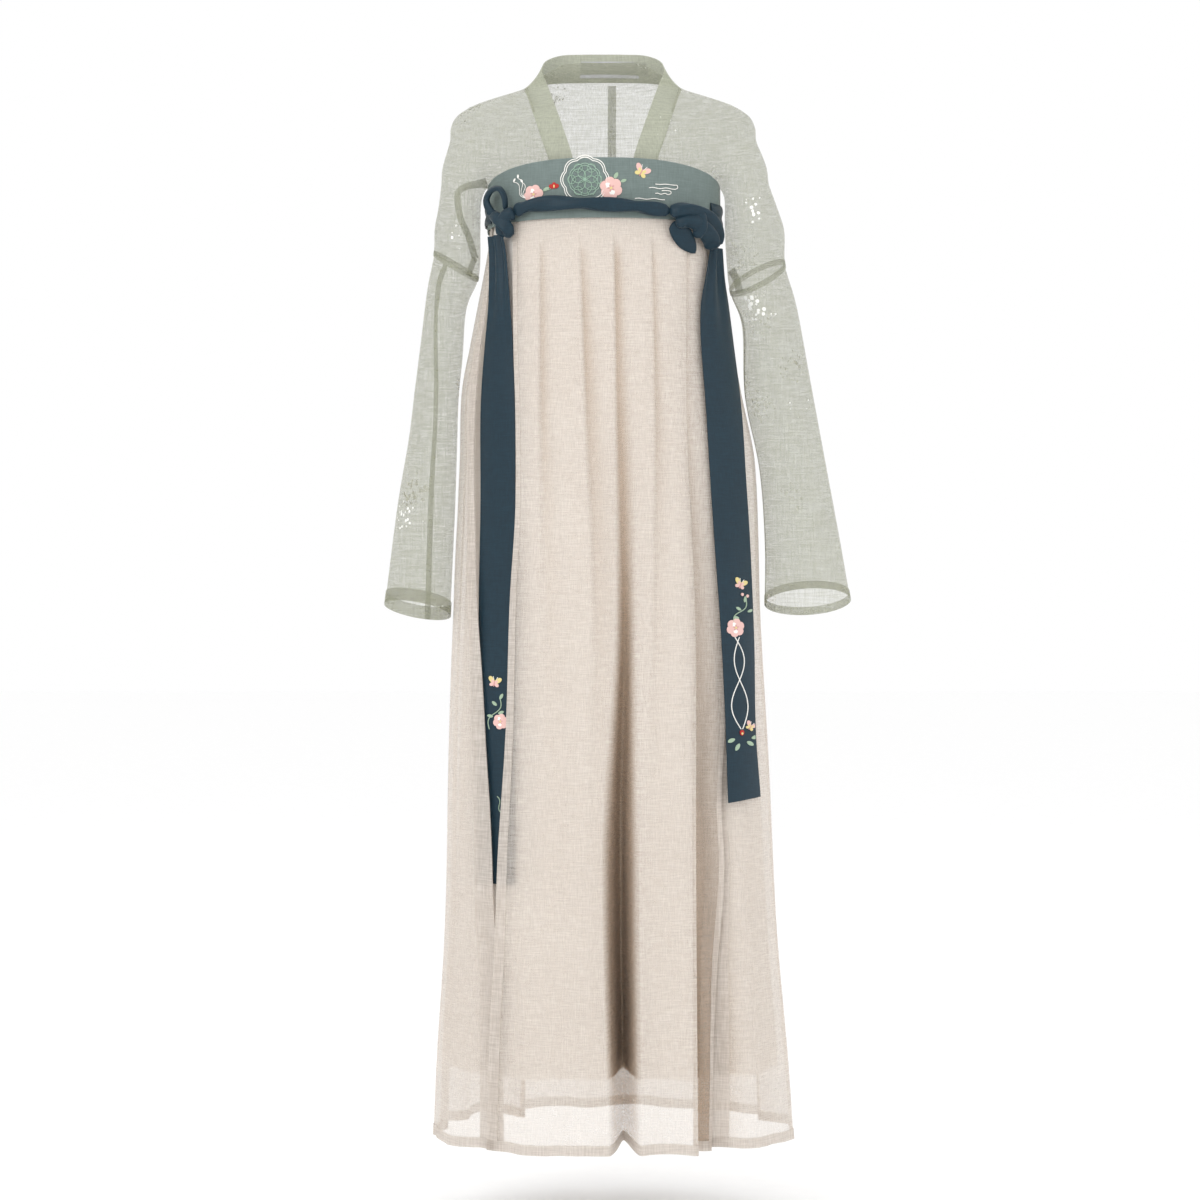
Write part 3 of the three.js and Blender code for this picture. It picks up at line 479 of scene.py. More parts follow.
def woven(
    name, colour, deep, thread, roughness, sheen, bump, opacity=None, glow=0.0, foil=False, fold_shade_colour=None
):
    """A woven cloth: slubby threads in colour and relief, soft sheen, and if sheer, gaps that show what is behind.
    thread is the slub's thickness in millimetres; opacity is the least and most that one wall hides."""
    material, tree = new_material(name)
    place = add_node(tree, "ShaderNodeTexCoord").outputs["Object"]
    weave = slubs(tree, thread, thread * 16, place)
    broad = add_node(tree, "ShaderNodeTexNoise", {"Scale": 9, "Detail": 3}, {"Vector": place}).outputs["Fac"]
    tone = mixed(tree, ranged(tree, weave, 0.75, 1.25, 0, 1), deep, colour)
    tone = mixed(tree, ranged(tree, broad, 0.35, 0.65, 0, 0.25), tone, deep)
    # Painted shade: the attribute set from how deep the pleats pull the cloth in mixes the colour toward a tan that
    # darkens the pleat hollows; on sheer cloth the tan also stands for the cloth lying double there.
    if fold_shade_colour:
        fold = add_node(tree, "ShaderNodeAttribute", attribute_name="fold").outputs["Fac"]
        tone = mixed(tree, fold, tone, fold_shade_colour)
    relief = add_node(tree, "ShaderNodeBump", {"Strength": bump, "Distance": 0.0006}, {"Height": weave})
    shader = add_node(
        tree,
        "ShaderNodeBsdfPrincipled",
        {"Roughness": roughness, "Sheen Weight": sheen, "Sheen Roughness": 0.4, "Specular IOR Level": 0.3, "IOR": 1.5},
        {"Base Color": tone, "Normal": relief.outputs[0]},
    )
    surface = shader.outputs[0]
    if glow:
        through = add_node(tree, "ShaderNodeBsdfTranslucent", {}, {"Color": tone})
        surface = add_node(
            tree, "ShaderNodeMixShader", {0: glow}, {1: surface, 2: through.outputs[0]}
        ).outputs[0]
    if opacity:
        hidden = ranged(tree, weave, 0.7, 1.3, *opacity)
        if foil:
            flecks = foil_flecks(tree, place)
            white = add_node(
                tree, "ShaderNodeBsdfPrincipled", {"Base Color": linear("#f1f1ec"), "Roughness": 0.35}, {}
            )
            surface = add_node(tree, "ShaderNodeMixShader", {}, {0: flecks, 1: surface, 2: white.outputs[0]}).outputs[0]
            hidden = add_node(tree, "ShaderNodeMath", {}, {0: hidden, 1: flecks}, operation="MAXIMUM").outputs[0]
        clear = add_node(tree, "ShaderNodeBsdfTransparent")
        surface = add_node(tree, "ShaderNodeMixShader", {}, {0: hidden, 1: clear.outputs[0], 2: surface}).outputs[0]
    add_node(tree, "ShaderNodeOutputMaterial", {}, {"Surface": surface})
    return material


def foil_flecks(tree, place):
    """White foil print: loose sprays of twigs and tiny petals, a few flecks between them."""
    small = add_node(
        tree, "ShaderNodeTexVoronoi", {"Scale": 1000 / 7, "Randomness": 1}, {"Vector": place}, feature="F1"
    )
    spray = add_node(
        tree, "ShaderNodeTexVoronoi", {"Scale": 1000 / 95, "Randomness": 1}, {"Vector": place}, feature="F1"
    )
    break_up = add_node(tree, "ShaderNodeTexNoise", {"Scale": 55, "Detail": 2}, {"Vector": place}).outputs["Fac"]
    near = ranged(tree, spray.outputs["Distance"], 0.1, 0.42, 1, 0)
    size = add_node(tree, "ShaderNodeMath", {}, {0: near, 1: break_up}, operation="MULTIPLY").outputs[0]
    wide = ranged(tree, size, 0.12, 0.5, 0.0, 0.42)
    return add_node(
        tree, "ShaderNodeMath", {}, {0: small.outputs["Distance"], 1: wide}, operation="LESS_THAN"
    ).outputs[0]


def make_materials(colours):
    """All the cloths of the set, by name."""
    made = {}
    # Sheer sage gauze, plain woven in fine crimped yarn: flat colour, pale where one layer is lit from behind.
    made["sage"] = woven("Sheer sage gauze", colours.sage, "#a2a490", 1.6, 0.8, 0.15, 0.25, (0.13, 0.36), 0.35, True)
    made["sage_seam"] = woven("Sage gauze seam", "#abad98", "#9c9e88", 1.6, 0.8, 0.1, 0.3, (0.3, 0.5), 0.3)
    # The collar is the same gauze doubled and fused, so it hides more and lies flat.
    made["collar"] = woven("Doubled sage gauze", colours.collar, "#adb09d", 1.4, 0.75, 0.1, 0.2, (0.6, 0.8), 0.2, True)
    # Sheer cream crepe chiffon: soft slubs, warm where it lies double in a pleat, and painted shade deepening that tan
    # in the pleat hollows.
    made["cream"] = woven(
        "Sheer cream crepe", colours.cream, "#e5dcd3", 1.1, 0.85, 0.2, 0.3, (0.28, 0.5), 0.3, False, "#c2ab92"
    )
    made["cream_hem"] = woven("Cream crepe hem", "#ebe5de", "#ddd4cb", 1.8, 0.85, 0.2, 0.3, (0.5, 0.7), 0.3)
    # Plain woven lining: matt and opaque, with painted shade in a tan that darkens its pleat hollows.
    made["lining"] = woven("Cream lining", colours.lining, "#dbd4cd", 1.2, 0.9, 0.1, 0.15, fold_shade_colour="#c9b59f")
    # Interlined satin of the band: smooth, closed, a low even sheen.
    made["band"] = woven("Muted teal band cloth", colours.band, "#65726f", 1.0, 0.6, 0.15, 0.12)
    # Ties of dark crepe-back satin: deep colour with a soft light along the folds.
    made["tie"] = woven("Dark teal tie satin", colours.tie, "#0c2531", 1.1, 0.5, 0.12, 0.15)
    made["label"] = woven("Bare label satin", "#d5d5dc", "#c4c4cc", 0.8, 0.4, 0.1, 0.1)
    for name, shade in THREADS.items():
        made[name] = woven("Silk thread " + name, shade, shade, 0.7, 0.45, 0.2, 0.4)
    return made


THREADS = {
    "white": "#f0eee8",
    "pink": "#e2b9b2",
    "rose": "#cf9a96",
    "red": "#b3251d",
    "leaf": "#9db39a",
    "gold": "#dccb8a",
    "mint": "#a9c4b2",
}
MATERIALS = {}


# Skirt -----------------------------------------------------------------------------------------------


def edge_angle(name, z, turn=0.0, less=0.0):
    return front_angle(column(EDGES[name], "x", z) - less, z) + turn


def front_left(z):
    return edge_angle("front_left", z)


def front_right(z):
    return edge_angle("front_right", z)


def back_left(z):
    return edge_angle("back_left", z, 2 * math.pi)


def back_right(z):
    return edge_angle("front_right", z, 0, column(EDGES["tuck"], "x", z))


def back_tuck(angle, z):
    """The back panel lies under the front one at the right, and at the left only below the tail."""
    right = smooth(1 - (angle - front_right(z)) / 0.2) * smooth((-250 - z) / 80)
    left = smooth(1 - (back_left(z) - angle) / 0.3) * smooth((-1002 - z) / 40)
    return -TUCK_DEPTH * np.maximum(right, left)


def lining_out(angle, z):
    return -2.4 - 10.6 * smooth((-172 - z) / 110) + 0 * angle


def panel_points(start, first, pleats, end, per_gap, rows, bottom, out):
    """Places of a panel between two edges, with grid lines that follow its pleats and crowd at their steep sides."""
    part = np.arange(per_gap) / per_gap
    part = part - 0.09 * np.sin(2 * math.pi * part)
    stations = (np.arange(pleats + 1)[:, None] + part).ravel()
    stations = np.append(stations, pleats + 1.0)
    z = SKIRT_TOP_Z + (bottom - SKIRT_TOP_Z) * np.linspace(0, 1, rows)
    lines = [start(z)] + [line[0] for line in pleat_lines(z)[first : first + pleats]] + [end(z)]
    lines = np.array(lines)
    k = np.minimum(stations.astype(int), pleats)
    share = (stations - k)[:, None]
    angle = lines[k] * (1 - share) + lines[k + 1] * share
    z = np.broadcast_to(z, angle.shape)
    return angle, z, out(angle, z)


WAVES = (9, 14, 22, 31, 43)
LINING_GAP = 0.012  # radians between the two linings at their side edges
HEM_OUT = 0.45  # how far a turned hem stands off its panel, in millimetres


def hem_wave(angle, z, bottom, seed):
    """The hem hangs a few millimetres unevenly."""
    low = smooth((bottom + 260 - z) / 260)
    draw = np.random.default_rng(seed)
    return low * sum(draw.uniform(0.6, 1.6) * np.sin(t * angle + draw.uniform(0, 6.28)) for t in (5, 8, 13))


def panel(name, points, waviness, seed, thickness, bottom):
    angle, z, out = points
    loose = out + ripple(angle, z, WAVES, waviness, seed)
    places = skirt_point(angle, z, loose)
    places[..., 2] += hem_wave(angle, z, bottom, seed)
    piece = cloth_grid(name, places)
    # Painted shade: how deep the pleats pull the cloth in, kept on the points to darken the pleat hollows toward a tan.
    shade = smooth((pleat_depth(angle, z) - 1.5) / (6 + 26 * smooth((-165 - z) / 700)))
    set_attribute(piece, "fold", 0.8 * shade)
    face_out(piece)
    thicken(piece, thickness)
    return piece


def hem_strip(name, points, waviness, seed, pick):
    """A turned hem: a narrow second layer on the outside of a panel, on the columns and rows that pick takes."""
    angle, z, out = [values[pick] for values in points]
    loose = out + ripple(angle, z, WAVES, waviness, seed) + HEM_OUT
    places = skirt_point(angle, z, loose)
    places[..., 2] += hem_wave(angle, z, HEM_Z, seed)
    piece = cloth_grid(name, places)
    face_out(piece)
    thicken(piece, 0.4, 1)
    return piece


def build_skirt(sizes):
    front = panel_points(front_left, 0, 5, front_right, sizes.columns, sizes.rows, HEM_Z, lambda a, z: 0 * a)
    back = panel_points(back_right, 5, 7, back_left, sizes.columns, sizes.rows, HEM_Z, back_tuck)
    for name, points, seed in (("front", front, 11), ("back", back, 12)):
        piece = panel(f"skirt_{name}_panel", points, sizes.waviness, seed, CLOTH, HEM_Z)
        finish_piece(piece, MATERIALS["cream"], [f"skirt_{name}_outer"])
        hem_rows = max(3, round(sizes.rows * 14 / 1214) + 1)
        side = max(3, round(sizes.columns * 0.3))
        picks = {
            "hem": np.s_[:, -hem_rows:],
            "left_edge": np.s_[:side, :] if name == "front" else np.s_[-side:, :],
            "right_edge": np.s_[-side:, :] if name == "front" else np.s_[:side, :],
        }
        for where, pick in picks.items():
            hem = hem_strip(f"skirt_{name}_{where}", points, sizes.waviness, seed, pick)
            finish_piece(hem, MATERIALS["cream_hem"], [])


def build_lining(sizes):
    columns, rows = round(sizes.columns * 0.6), round(sizes.rows * 0.6)
    front = panel_points(
        lambda z: back_left(z) - 2 * math.pi, 0, 5, front_right, columns, rows, LINING_HEM_Z, lining_out
    )
    back = panel_points(
        lambda z: front_right(z) + LINING_GAP,
        5,
        7,
        lambda z: back_left(z) - LINING_GAP,
        columns,
        rows,
        LINING_HEM_Z,
        lining_out,
    )
    for name, points, seed in (("front", front, 21), ("back", back, 22)):
        piece = panel(f"lining_{name}_panel", points, 0.6 * sizes.waviness, seed, 0.6, LINING_HEM_Z)
        finish_piece(piece, MATERIALS["lining"], [f"lining_{name}"])


# Band and ties ---------------------------------------------------------------------------------------


def band_height(angle, ends):
    forward = np.maximum(-np.sin(angle), 0)
    return ends[1] + (ends[0] - ends[1]) * forward


def build_band():
    """The chest band: two interlined lengths with rounded edges, meeting at the sides."""
    for name, arc in (("front", (-math.pi + 0.02, -0.02)), ("back", (0.02, math.pi - 0.02))):
        angle = np.linspace(*arc, 150)[:, None]
        down = np.linspace(0, 1, 26)[None, :]
        z = band_height(angle, BAND_TOP) * (1 - down) + band_height(angle, BAND_BOTTOM) * down
        give = 0.5 * np.sin(angle * 9 + 3 * down) * np.sin(math.pi * down) + 0.4 * np.sin(angle * 23 + 1)
        places = skirt_point(angle, z, BAND_OUT - 0.4 + give * 0.5, False)
        piece = cloth_grid(f"band_{name}_panel", places)
        face_out(piece)
        thicken(piece, 1.6, 0)
        apply_modifier(piece, "BEVEL", width=0.5 * MM, segments=2, limit_method="ANGLE")
        finish_piece(piece, MATERIALS["band"], [f"band_{name}"])


def sweep(name, rows, around=20, steps=14, ridges=0, ridge_depth=0.0, ridge_turns=0.0):
    """A soft folded tie along a path on the band. Each row: x, z, out, half width, half thickness, roll in degrees.
    Ridges are the cloth's own folds, winding round as they go."""
    rows = np.array(rows, float)
    count = (len(rows) - 1) * steps + 1
    at = np.linspace(0, len(rows) - 1, count)
    knots = -np.arange(len(rows), dtype=float)
    x, z, out, wide, thick, roll = [curve(knots, rows[:, k], -at) for k in range(6)]
    path = band_point(x, z, out)
    outward = band_point(x, z, out + 1) - path
    outward /= np.linalg.norm(outward, axis=1)[:, None]
    ahead = np.gradient(path, axis=0)
    ahead /= np.linalg.norm(ahead, axis=1)[:, None]
    side = np.cross(outward, ahead)
    side /= np.linalg.norm(side, axis=1)[:, None]
    face = np.cross(ahead, side)
    turn = np.radians(roll)[:, None]
    side, face = side * np.cos(turn) + face * np.sin(turn), face * np.cos(turn) - side * np.sin(turn)
    a = np.linspace(0, 2 * math.pi, around + 1)
    swell = 1 + ridge_depth * np.cos(ridges * a[None, :] + ridge_turns * 2 * math.pi * at[:, None] / (len(rows) - 1))
    swell = swell if ridges else np.ones((count, around + 1))
    ends = np.minimum(at, at[-1] - at)
    close = np.sqrt(np.clip(ends * 3.2, 0.02, 1))[:, None]
    flat_x = signed_power(np.cos(a), 0.8)[None, :] * wide[:, None] * swell * close
    flat_y = signed_power(np.sin(a), 0.8)[None, :] * thick[:, None] * swell * close
    places = path[:, None] + side[:, None] * flat_x[..., None] + face[:, None] * flat_y[..., None]
    piece = cloth_grid(name, np.transpose(places, (1, 0, 2)), closed=True)
    edit = bmesh.new()
    edit.from_mesh(piece.data)
    open_edges = [e for e in edit.edges if e.is_boundary]
    bmesh.ops.holes_fill(edit, edges=open_edges)
    bmesh.ops.recalc_face_normals(edit, faces=edit.faces)
    edit.to_mesh(piece.data)
    edit.free()
    return piece


def join(pieces, name):
    bpy.ops.object.select_all(action="DESELECT")
    for piece in pieces:
        piece.select_set(True)
    bpy.context.view_layer.objects.active = pieces[0]
    bpy.ops.object.join()
    pieces[0].name = name
    pieces[0].data.name = name
    return pieces[0]


TWIST = (  # x, z, out, half width, half thickness, roll
    (-114, -145, 10, 8, 5, 0),
    (-92, -139, 10, 8.5, 5.5, 0),
    (-55, -137, 10, 8.5, 6, 0),
    (-10, -139, 10, 8, 5.5, 0),
    (30, -140.5, 10, 8, 6, 0),
    (62, -144, 10, 8, 5.5, 0),
    (86, -146, 10, 7, 5, 0),
)


# Lengths of tie that wind over each other in a knot: ridges, their depth and their turns, points round, then rows
# like the twist's
LEFT_KNOT = (
    (3, 0.1, 1, 22, ((-112, -146, 12, 8, 5, 0), (-121, -150, 14, 9, 6, 0), (-127, -162, 15, 9, 6, 0),
                     (-128, -176, 12, 8, 5, 0))),
    (3, 0.1, 1.4, 22, ((-142, -146, 12, 7, 4, 0), (-134, -152, 18, 8, 5, 0), (-122, -166, 16, 8, 5, 0),
                       (-119, -178, 10, 6, 3, 0))),
)
RIGHT_KNOT = (
    (3, 0.12, 1.2, 26, ((84, -150, 12, 8, 5, 0), (98, -146, 18, 10, 7, 0), (116, -147, 21, 10, 7, 0),
                        (134, -156, 20, 11, 7, 0), (145, -170, 14, 9, 6, 0), (143, -184, 9, 8, 4, 0))),
    (3, 0.12, 0.8, 26, ((92, -164, 14, 8, 5, 0), (106, -158, 20, 9, 6, 0), (122, -162, 22, 10, 7, 0),
                        (136, -176, 17, 11, 6, 0), (140, -190, 10, 9, 4, 0))),
    (2, 0.1, 1, 22, ((112, -140, 12, 6, 4, 0), (122, -150, 23, 8, 5, 0), (124, -166, 24, 8, 5, 0),
                     (116, -178, 14, 6, 4, 0))),
)


def build_knot(name, lengths):
    wound = [
        sweep("wound_length", rows, around, 12, ridges, depth, turns)
        for ridges, depth, turns, around, rows in lengths
    ]
    return join(wound, name)


def build_ties(sizes):
    tie = MATERIALS["tie"]
    angle = np.linspace(-0.5, math.pi + 0.36, 120)[:, None]
    down = np.linspace(0, 1, 14)[None, :]
    sag = 1.5 * np.sin(angle * 3)
    z = TIE_Z + 12 - 25 * down + sag
    crease = 0.8 * np.sin(down * 9 + 2 * np.sin(angle * 4))
    wrap = cloth_grid("tie_wrap", skirt_point(angle, z, BAND_OUT + 2.6 + crease, False))
    face_out(wrap)
    thicken(wrap, 1.2, 0)
    finish_piece(wrap, tie, ["tie_wrap_back"])

    twist = sweep("tie_twist", TWIST, 36, 30, 2, 0.17, 3.4)
    finish_piece(twist, tie, ["tie_twist_front"])

    loop = sweep(
        "tie_loop",
        (
            (-124, -143, 13, 4, 3, 60),
            (-125, -127, 16, 5, 3.2, 60),
            (-132, -115, 17, 5.5, 3.2, 60),
            (-143, -116, 17, 5.5, 3.4, 60),
            (-149, -127, 17, 6, 3.4, 60),
            (-144, -141, 15, 6, 3.4, 40),
            (-134, -152, 13, 7, 4, 10),
        ),
        20,
        12,
    )
    finish_piece(loop, tie, ["tie_loop_left"])

    left = build_knot("knot_left_side", LEFT_KNOT)
    finish_piece(left, tie, ["knot_left"])

    right = build_knot("knot_right_side", RIGHT_KNOT)
    finish_piece(right, tie, ["knot_right"])

    short = sweep(
        "tie_short_end",
        (
            (88, -160, 9, 8, 3, 0),
            (95, -170, 10, 12, 2.6, 0),
            (104, -181, 9, 12, 2.2, 0),
            (112, -190, 7, 8, 1.8, 0),
            (117, -197, 5, 2, 1.2, 0),
        ),
        22,
        12,
        3,
        0.1,
        0.4,
    )
    finish_piece(short, tie, ["tie_short_end_right"])
    for side in ("left", "right"):
        build_tail(side, sizes)


def tail_surface(side, across, z, lift=0.0):
    """Points of a hanging tail: across runs 0 to 1 over its width."""
    rows = TAILS[side]
    x = column(rows, "left", z) * (1 - across) + column(rows, "right", z) * across
    out = column(rows, "out", z)
    gather = smooth((z - rows["z"][0] + 150) / 150)
    soft = 1.1 * np.sin(z / 61 + 2 * across) * smooth((-240 - z) / 120)
    crease = gather * 2.2 * np.cos(across * 4 * math.pi + 0.6)
    roll = 1.2 * np.cos(math.pi * across) * smooth((-300 - z) / 200) if side == "right" else 0
    out = out + 0.6 * soft + crease + roll
    return tail_point(x, z, out + lift)


def build_tail(side, sizes):
    rows = TAILS[side]
    across = np.linspace(0, 1, 29)[:, None]
    drop = np.linspace(0, 1, 220)[None, :]
    top, bottom = rows["z"][0], rows["z"][-1]
    slant = (5 * across - 2) * smooth((drop - 0.9) / 0.1) if side == "right" else 0 * across
    z = top + (bottom - top) * drop + slant
    piece = cloth_grid(f"tie_tail_{side}_length", tail_surface(side, across, z))
    face_out(piece)
    thicken(piece, 1.2, 0)
    finish_piece(piece, MATERIALS["tie"], [f"tie_tail_{side}"])


# Blouse ----------------------------------------------------------------------------------------------

# Main creases of the blouse body: start x and z, end x and z, depth (less than 0 for a ridge), width, and the
# side they are on: -1 front, 1 back
BODY_CREASES = (
    (-100, 10, -150, -60, 1.6, 12, -1),
    (-158, -8, -186, -92, 2.4, 9, -1),
    (-196, -30, -200, -110, -2.0, 7, -1),
    (-120, -60, -160, -112, 2.6, 10, -1),
    (-104, -72, -146, -98, -2.2, 8, -1),
    (96, 2, 128, -70, 1.2, 14, -1),
    (150, 0, 178, -80, 2.6, 8, -1),
    (180, -30, 205, -130, -2.6, 9, -1),
    (112, -66, 152, -104, 2.4, 9, -1),
    (150, -92, 206, -150, 2.4, 9, -1),
    (160, -110, 172, -190, -2.6, 8, -1),
    (178, -150, 196, -214, 2.2, 8, -1),
    (-164, -120, -180, -196, -2.6, 8, -1),
    (-206, -96, -196, -190, 2.2, 8, -1),
    (-70, 20, -140, -50, 2.0, 12, 1),
    (78, 16, 150, -66, 2.2, 12, 1),
    (-40, -20, -60, -95, 1.4, 14, 1),
    (52, -10, 44, -92, 1.6, 12, 1),
    (-168, -40, -196, -150, 2.6, 9, 1),
    (170, -34, 200, -170, 2.6, 9, 1),
)
SLEEVE_CREASES = {  # angle in degrees and share of length at each end, depth and width
    "left": (
        (250, 0.02, 225, 0.35, 3.0, 9),
        (285, 0.0, 300, 0.22, -2.6, 8),
        (230, 0.3, 262, 0.75, 2.2, 9),
        (300, 0.35, 280, 0.95, 2.0, 10),
        (200, 0.5, 215, 1.0, -2.0, 9),
        (330, 0.1, 318, 0.6, 2.4, 8),
        (70, 0.0, 100, 0.4, 2.6, 9),
        (130, 0.3, 105, 0.9, 2.4, 10),
        (30, 0.4, 50, 1.0, 2.0, 9),
    ),
    "right": (
        (262, 0.0, 280, 0.3, 3.0, 9),
        (300, 0.02, 285, 0.4, -2.6, 8),
        (240, 0.2, 258, 0.7, 2.4, 10),
        (292, 0.4, 270, 1.0, 2.2, 11),
        (215, 0.1, 205, 0.6, 2.4, 9),
        (330, 0.5, 315, 1.0, 2.0, 9),
        (80, 0.05, 60, 0.5, 2.6, 9),
        (120, 0.3, 95, 0.95, 2.4, 10),
        (20, 0.4, 38, 1.0, 2.0, 9),
    ),
}


def ring_mesh(name, rings):
    """A closed solid through rings of points, in millimetres."""
    count, around = rings.shape[:2]
    mesh = bpy.data.meshes.new(name)
    faces = []
    for r in range(count - 1):
        for i in range(around):
            j = (i + 1) % around
            faces.append((r * around + i, r * around + j, (r + 1) * around + j, (r + 1) * around + i))
    faces.append(tuple(range(around))[::-1])
    faces.append(tuple((count - 1) * around + i for i in range(around)))
    mesh.from_pydata((rings.reshape(-1, 3) * MM).tolist(), [], faces)
    piece = bpy.data.objects.new(name, mesh)
    bpy.context.scene.collection.objects.link(piece)
    edit = bmesh.new()
    edit.from_mesh(mesh)
    bmesh.ops.recalc_face_normals(edit, faces=edit.faces)
    edit.to_mesh(mesh)
    edit.free()
    return piece


def body_rings(around=96):
    heights = np.concatenate([np.linspace(62, -100, 46), np.linspace(-104, BLOUSE_HEM_Z - 20, 60)])
    angle = np.linspace(0, 2 * math.pi, around, endpoint=False)[None, :]
    size = [column(BODY, name, heights)[:, None] for name in ("half_width", "front", "back", "power")]
    x, y = section_point(angle, *size)
    return np.stack([x, y, heights[:, None] + 0 * x], -1)


def arm_rings(side, rows, angle, less=0.0):
    """Rings of an arm at rows of its table, which may fall between two."""
    arm = ARMS[side]
    at = -np.arange(len(arm["z"]), dtype=float)
    get = {name: curve(at, arm[name], -rows)[:, None] for name in ARM_COLUMNS}
    sign = -1 if side == "left" else 1
    outward = np.cos(angle)[None, :] * (get["half_width"] - less)
    back = np.sin(angle)[None, :] * (get["half_depth"] - less)
    z = get["z"] + outward * get["rise"] + back * get["lean"]
    return np.stack([sign * (get["out"] + outward), back + 0 * z, z], -1)


def crease_depth(points, creases, normals_y):
    """How far creases push points of the blouse in."""
    total = np.zeros(len(points))
    for x1, z1, x2, z2, depth, width, face in creases:
        line = np.array([x2 - x1, z2 - z1], float)
        length = np.hypot(*line)
        line /= length
        dx, dz = points[:, 0] - x1, points[:, 2] - z1
        along = (dx * line[0] + dz * line[1]) / length
        bend = 0.12 * length * np.sin(math.pi * np.clip(along, 0, 1))
        across = np.abs(dx * line[1] - dz * line[0] + bend)
        taper = smooth(along / 0.3) * smooth((1 - along) / 0.3)
        same_side = smooth(normals_y * face * 2 + 0.4)
        total += depth * taper * same_side * smooth(1 - across / width)
    return total


def cutter(name, outline, axis_from, axis_to):
    """A prism on an outline of x and z, running through y."""
    low = [(x, axis_from, z) for x, z in outline]
    high = [(x, axis_to, z) for x, z in outline]
    rings = np.array([low, high], float)
    return ring_mesh(name, rings)


def cut_away(piece, tool):
    """Takes a tool's shape out of a closed piece and leaves the cut open, by the tool's own finish on its walls."""
    tool.data.materials.append(bpy.data.materials["cut"])
    apply_modifier(piece, "BOOLEAN", object=tool, operation="DIFFERENCE", solver="EXACT", material_mode="TRANSFER")
    cut_slot = piece.data.materials.find("cut")
    edit = bmesh.new()
    edit.from_mesh(piece.data)
    bmesh.ops.delete(edit, geom=[f for f in edit.faces if f.material_index == cut_slot], context="FACES")
    edit.to_mesh(piece.data)
    edit.free()
    bpy.data.objects.remove(tool)


def bisect(piece, place, normal, clear_outer, only=None):
    """Cuts a sheet along a plane, among the faces that only takes, and drops the side that the normal looks at."""
    edit = bmesh.new()
    edit.from_mesh(piece.data)
    faces = [f for f in edit.faces if only is None or only(f.calc_center_median())]
    geom = list({e for f in faces for e in f.edges}) + list({v for f in faces for v in f.verts}) + faces
    bmesh.ops.bisect_plane(edit, geom=geom, plane_co=Vector(place) * MM, plane_no=normal, clear_outer=clear_outer)
    edit.to_mesh(piece.data)
    edit.free()


def collar_seam_outline(less):
    """The front opening as x and z, a little inside the collar's seam edge."""
    right = [(row[2] - less, row[3]) for row in COLLAR_FRONT]
    right += [(row[3] - less, row[5]) for row in COLLAR_NECK[:2]]
    edge = right[-1][0]
    right = [(right[0][0], BLOUSE_HEM_Z - 60)] + right + [(edge, 160)]
    return right + [(-x, z) for x, z in reversed(right)]


def blouse_shell(voxel):
    """Torso and upper arms joined as one smooth closed form, then creased."""
    angle = np.linspace(0, 2 * math.pi, 72, endpoint=False)
    parts = [ring_mesh("torso", body_rings())]
    for side in ("left", "right"):
        rings = arm_rings(side, np.linspace(0, SEAM_ROW + 0.7, 60), angle)
        parts.append(ring_mesh("upper_arm", rings))
    shell = join(parts, "blouse_shell")
    shell.data.materials.append(bpy.data.materials.new("uncut"))
    bpy.data.materials.new("cut")
    apply_modifier(shell, "REMESH", mode="VOXEL", voxel_size=voxel * MM, use_smooth_shade=True)
    apply_modifier(shell, "SMOOTH", factor=0.6, iterations=5)
    data = shell.data
    co = np.zeros(len(data.vertices) * 3)
    normals = np.zeros(len(data.vertices) * 3)
    data.vertices.foreach_get("co", co)
    data.vertices.foreach_get("normal", normals)
    co, normals = co.reshape(-1, 3) / MM, normals.reshape(-1, 3)
    depth = crease_depth(co, BODY_CREASES, normals[:, 1])
    co = (co - normals * depth[:, None]) * MM
    data.vertices.foreach_set("co", co.ravel())
    data.update()
    return shell


def build_blouse(sizes):
    shell = blouse_shell(sizes.voxel)
    cut_away(shell, cutter("opening", collar_seam_outline(3), -300, 8))
    slope = cutter("neck", [(7.9, 30), (110, 61.6), (110, 200), (7.9, 200)], -300, 300)
    co = np.array([v.co for v in slope.data.vertices])
    for vertex, (x, y, z) in zip(slope.data.vertices, co):
        vertex.co = (y, x, z)
    cut_away(shell, slope)
    hem_tool = cutter("hem", [(-400, -480), (400, -480), (400, -900), (-400, -900)], -300, 300)
    cut_away(shell, hem_tool)
    for side, sign in (("left", -1), ("right", 1)):
        arm = ARMS[side]
        rise, lean = arm["rise"][SEAM_ROW], arm["lean"][SEAM_ROW]
        centre = (sign * arm["out"][SEAM_ROW], 0, arm["z"][SEAM_ROW])
        # the seam plane climbs outward and toward the back, and its lower side is dropped on the arm only
        bisect(
            shell,
            centre,
            (sign * rise, lean, -1),
            True,
            lambda p, s=sign: s * p.x > 0.1535 and p.z < -0.14,
        )
    for side, keep_sign in (("left", -1), ("right", 1)):
        half = shell.copy()
        half.data = shell.data.copy()
        half.name = f"blouse_{side}_half"
        half.data.name = half.name
        bpy.context.scene.collection.objects.link(half)
        bisect(half, (CENTRE_BACK_X, 0, 0), (-keep_sign, 0, 0), True)
        half.data.materials.clear()
        thicken(half, CLOTH)
        finish_piece(half, MATERIALS["sage"], [f"blouse_body_{side}"])
    bpy.data.objects.remove(shell)
    seams = build_body_seams()
    for side in ("left", "right"):
        own = [seam for name, seam in seams.items() if name.endswith(side)]
        if side == "right":
            own.append(seams["centre_back_seam"])
        half = bpy.data.objects[f"blouse_{side}_half"]


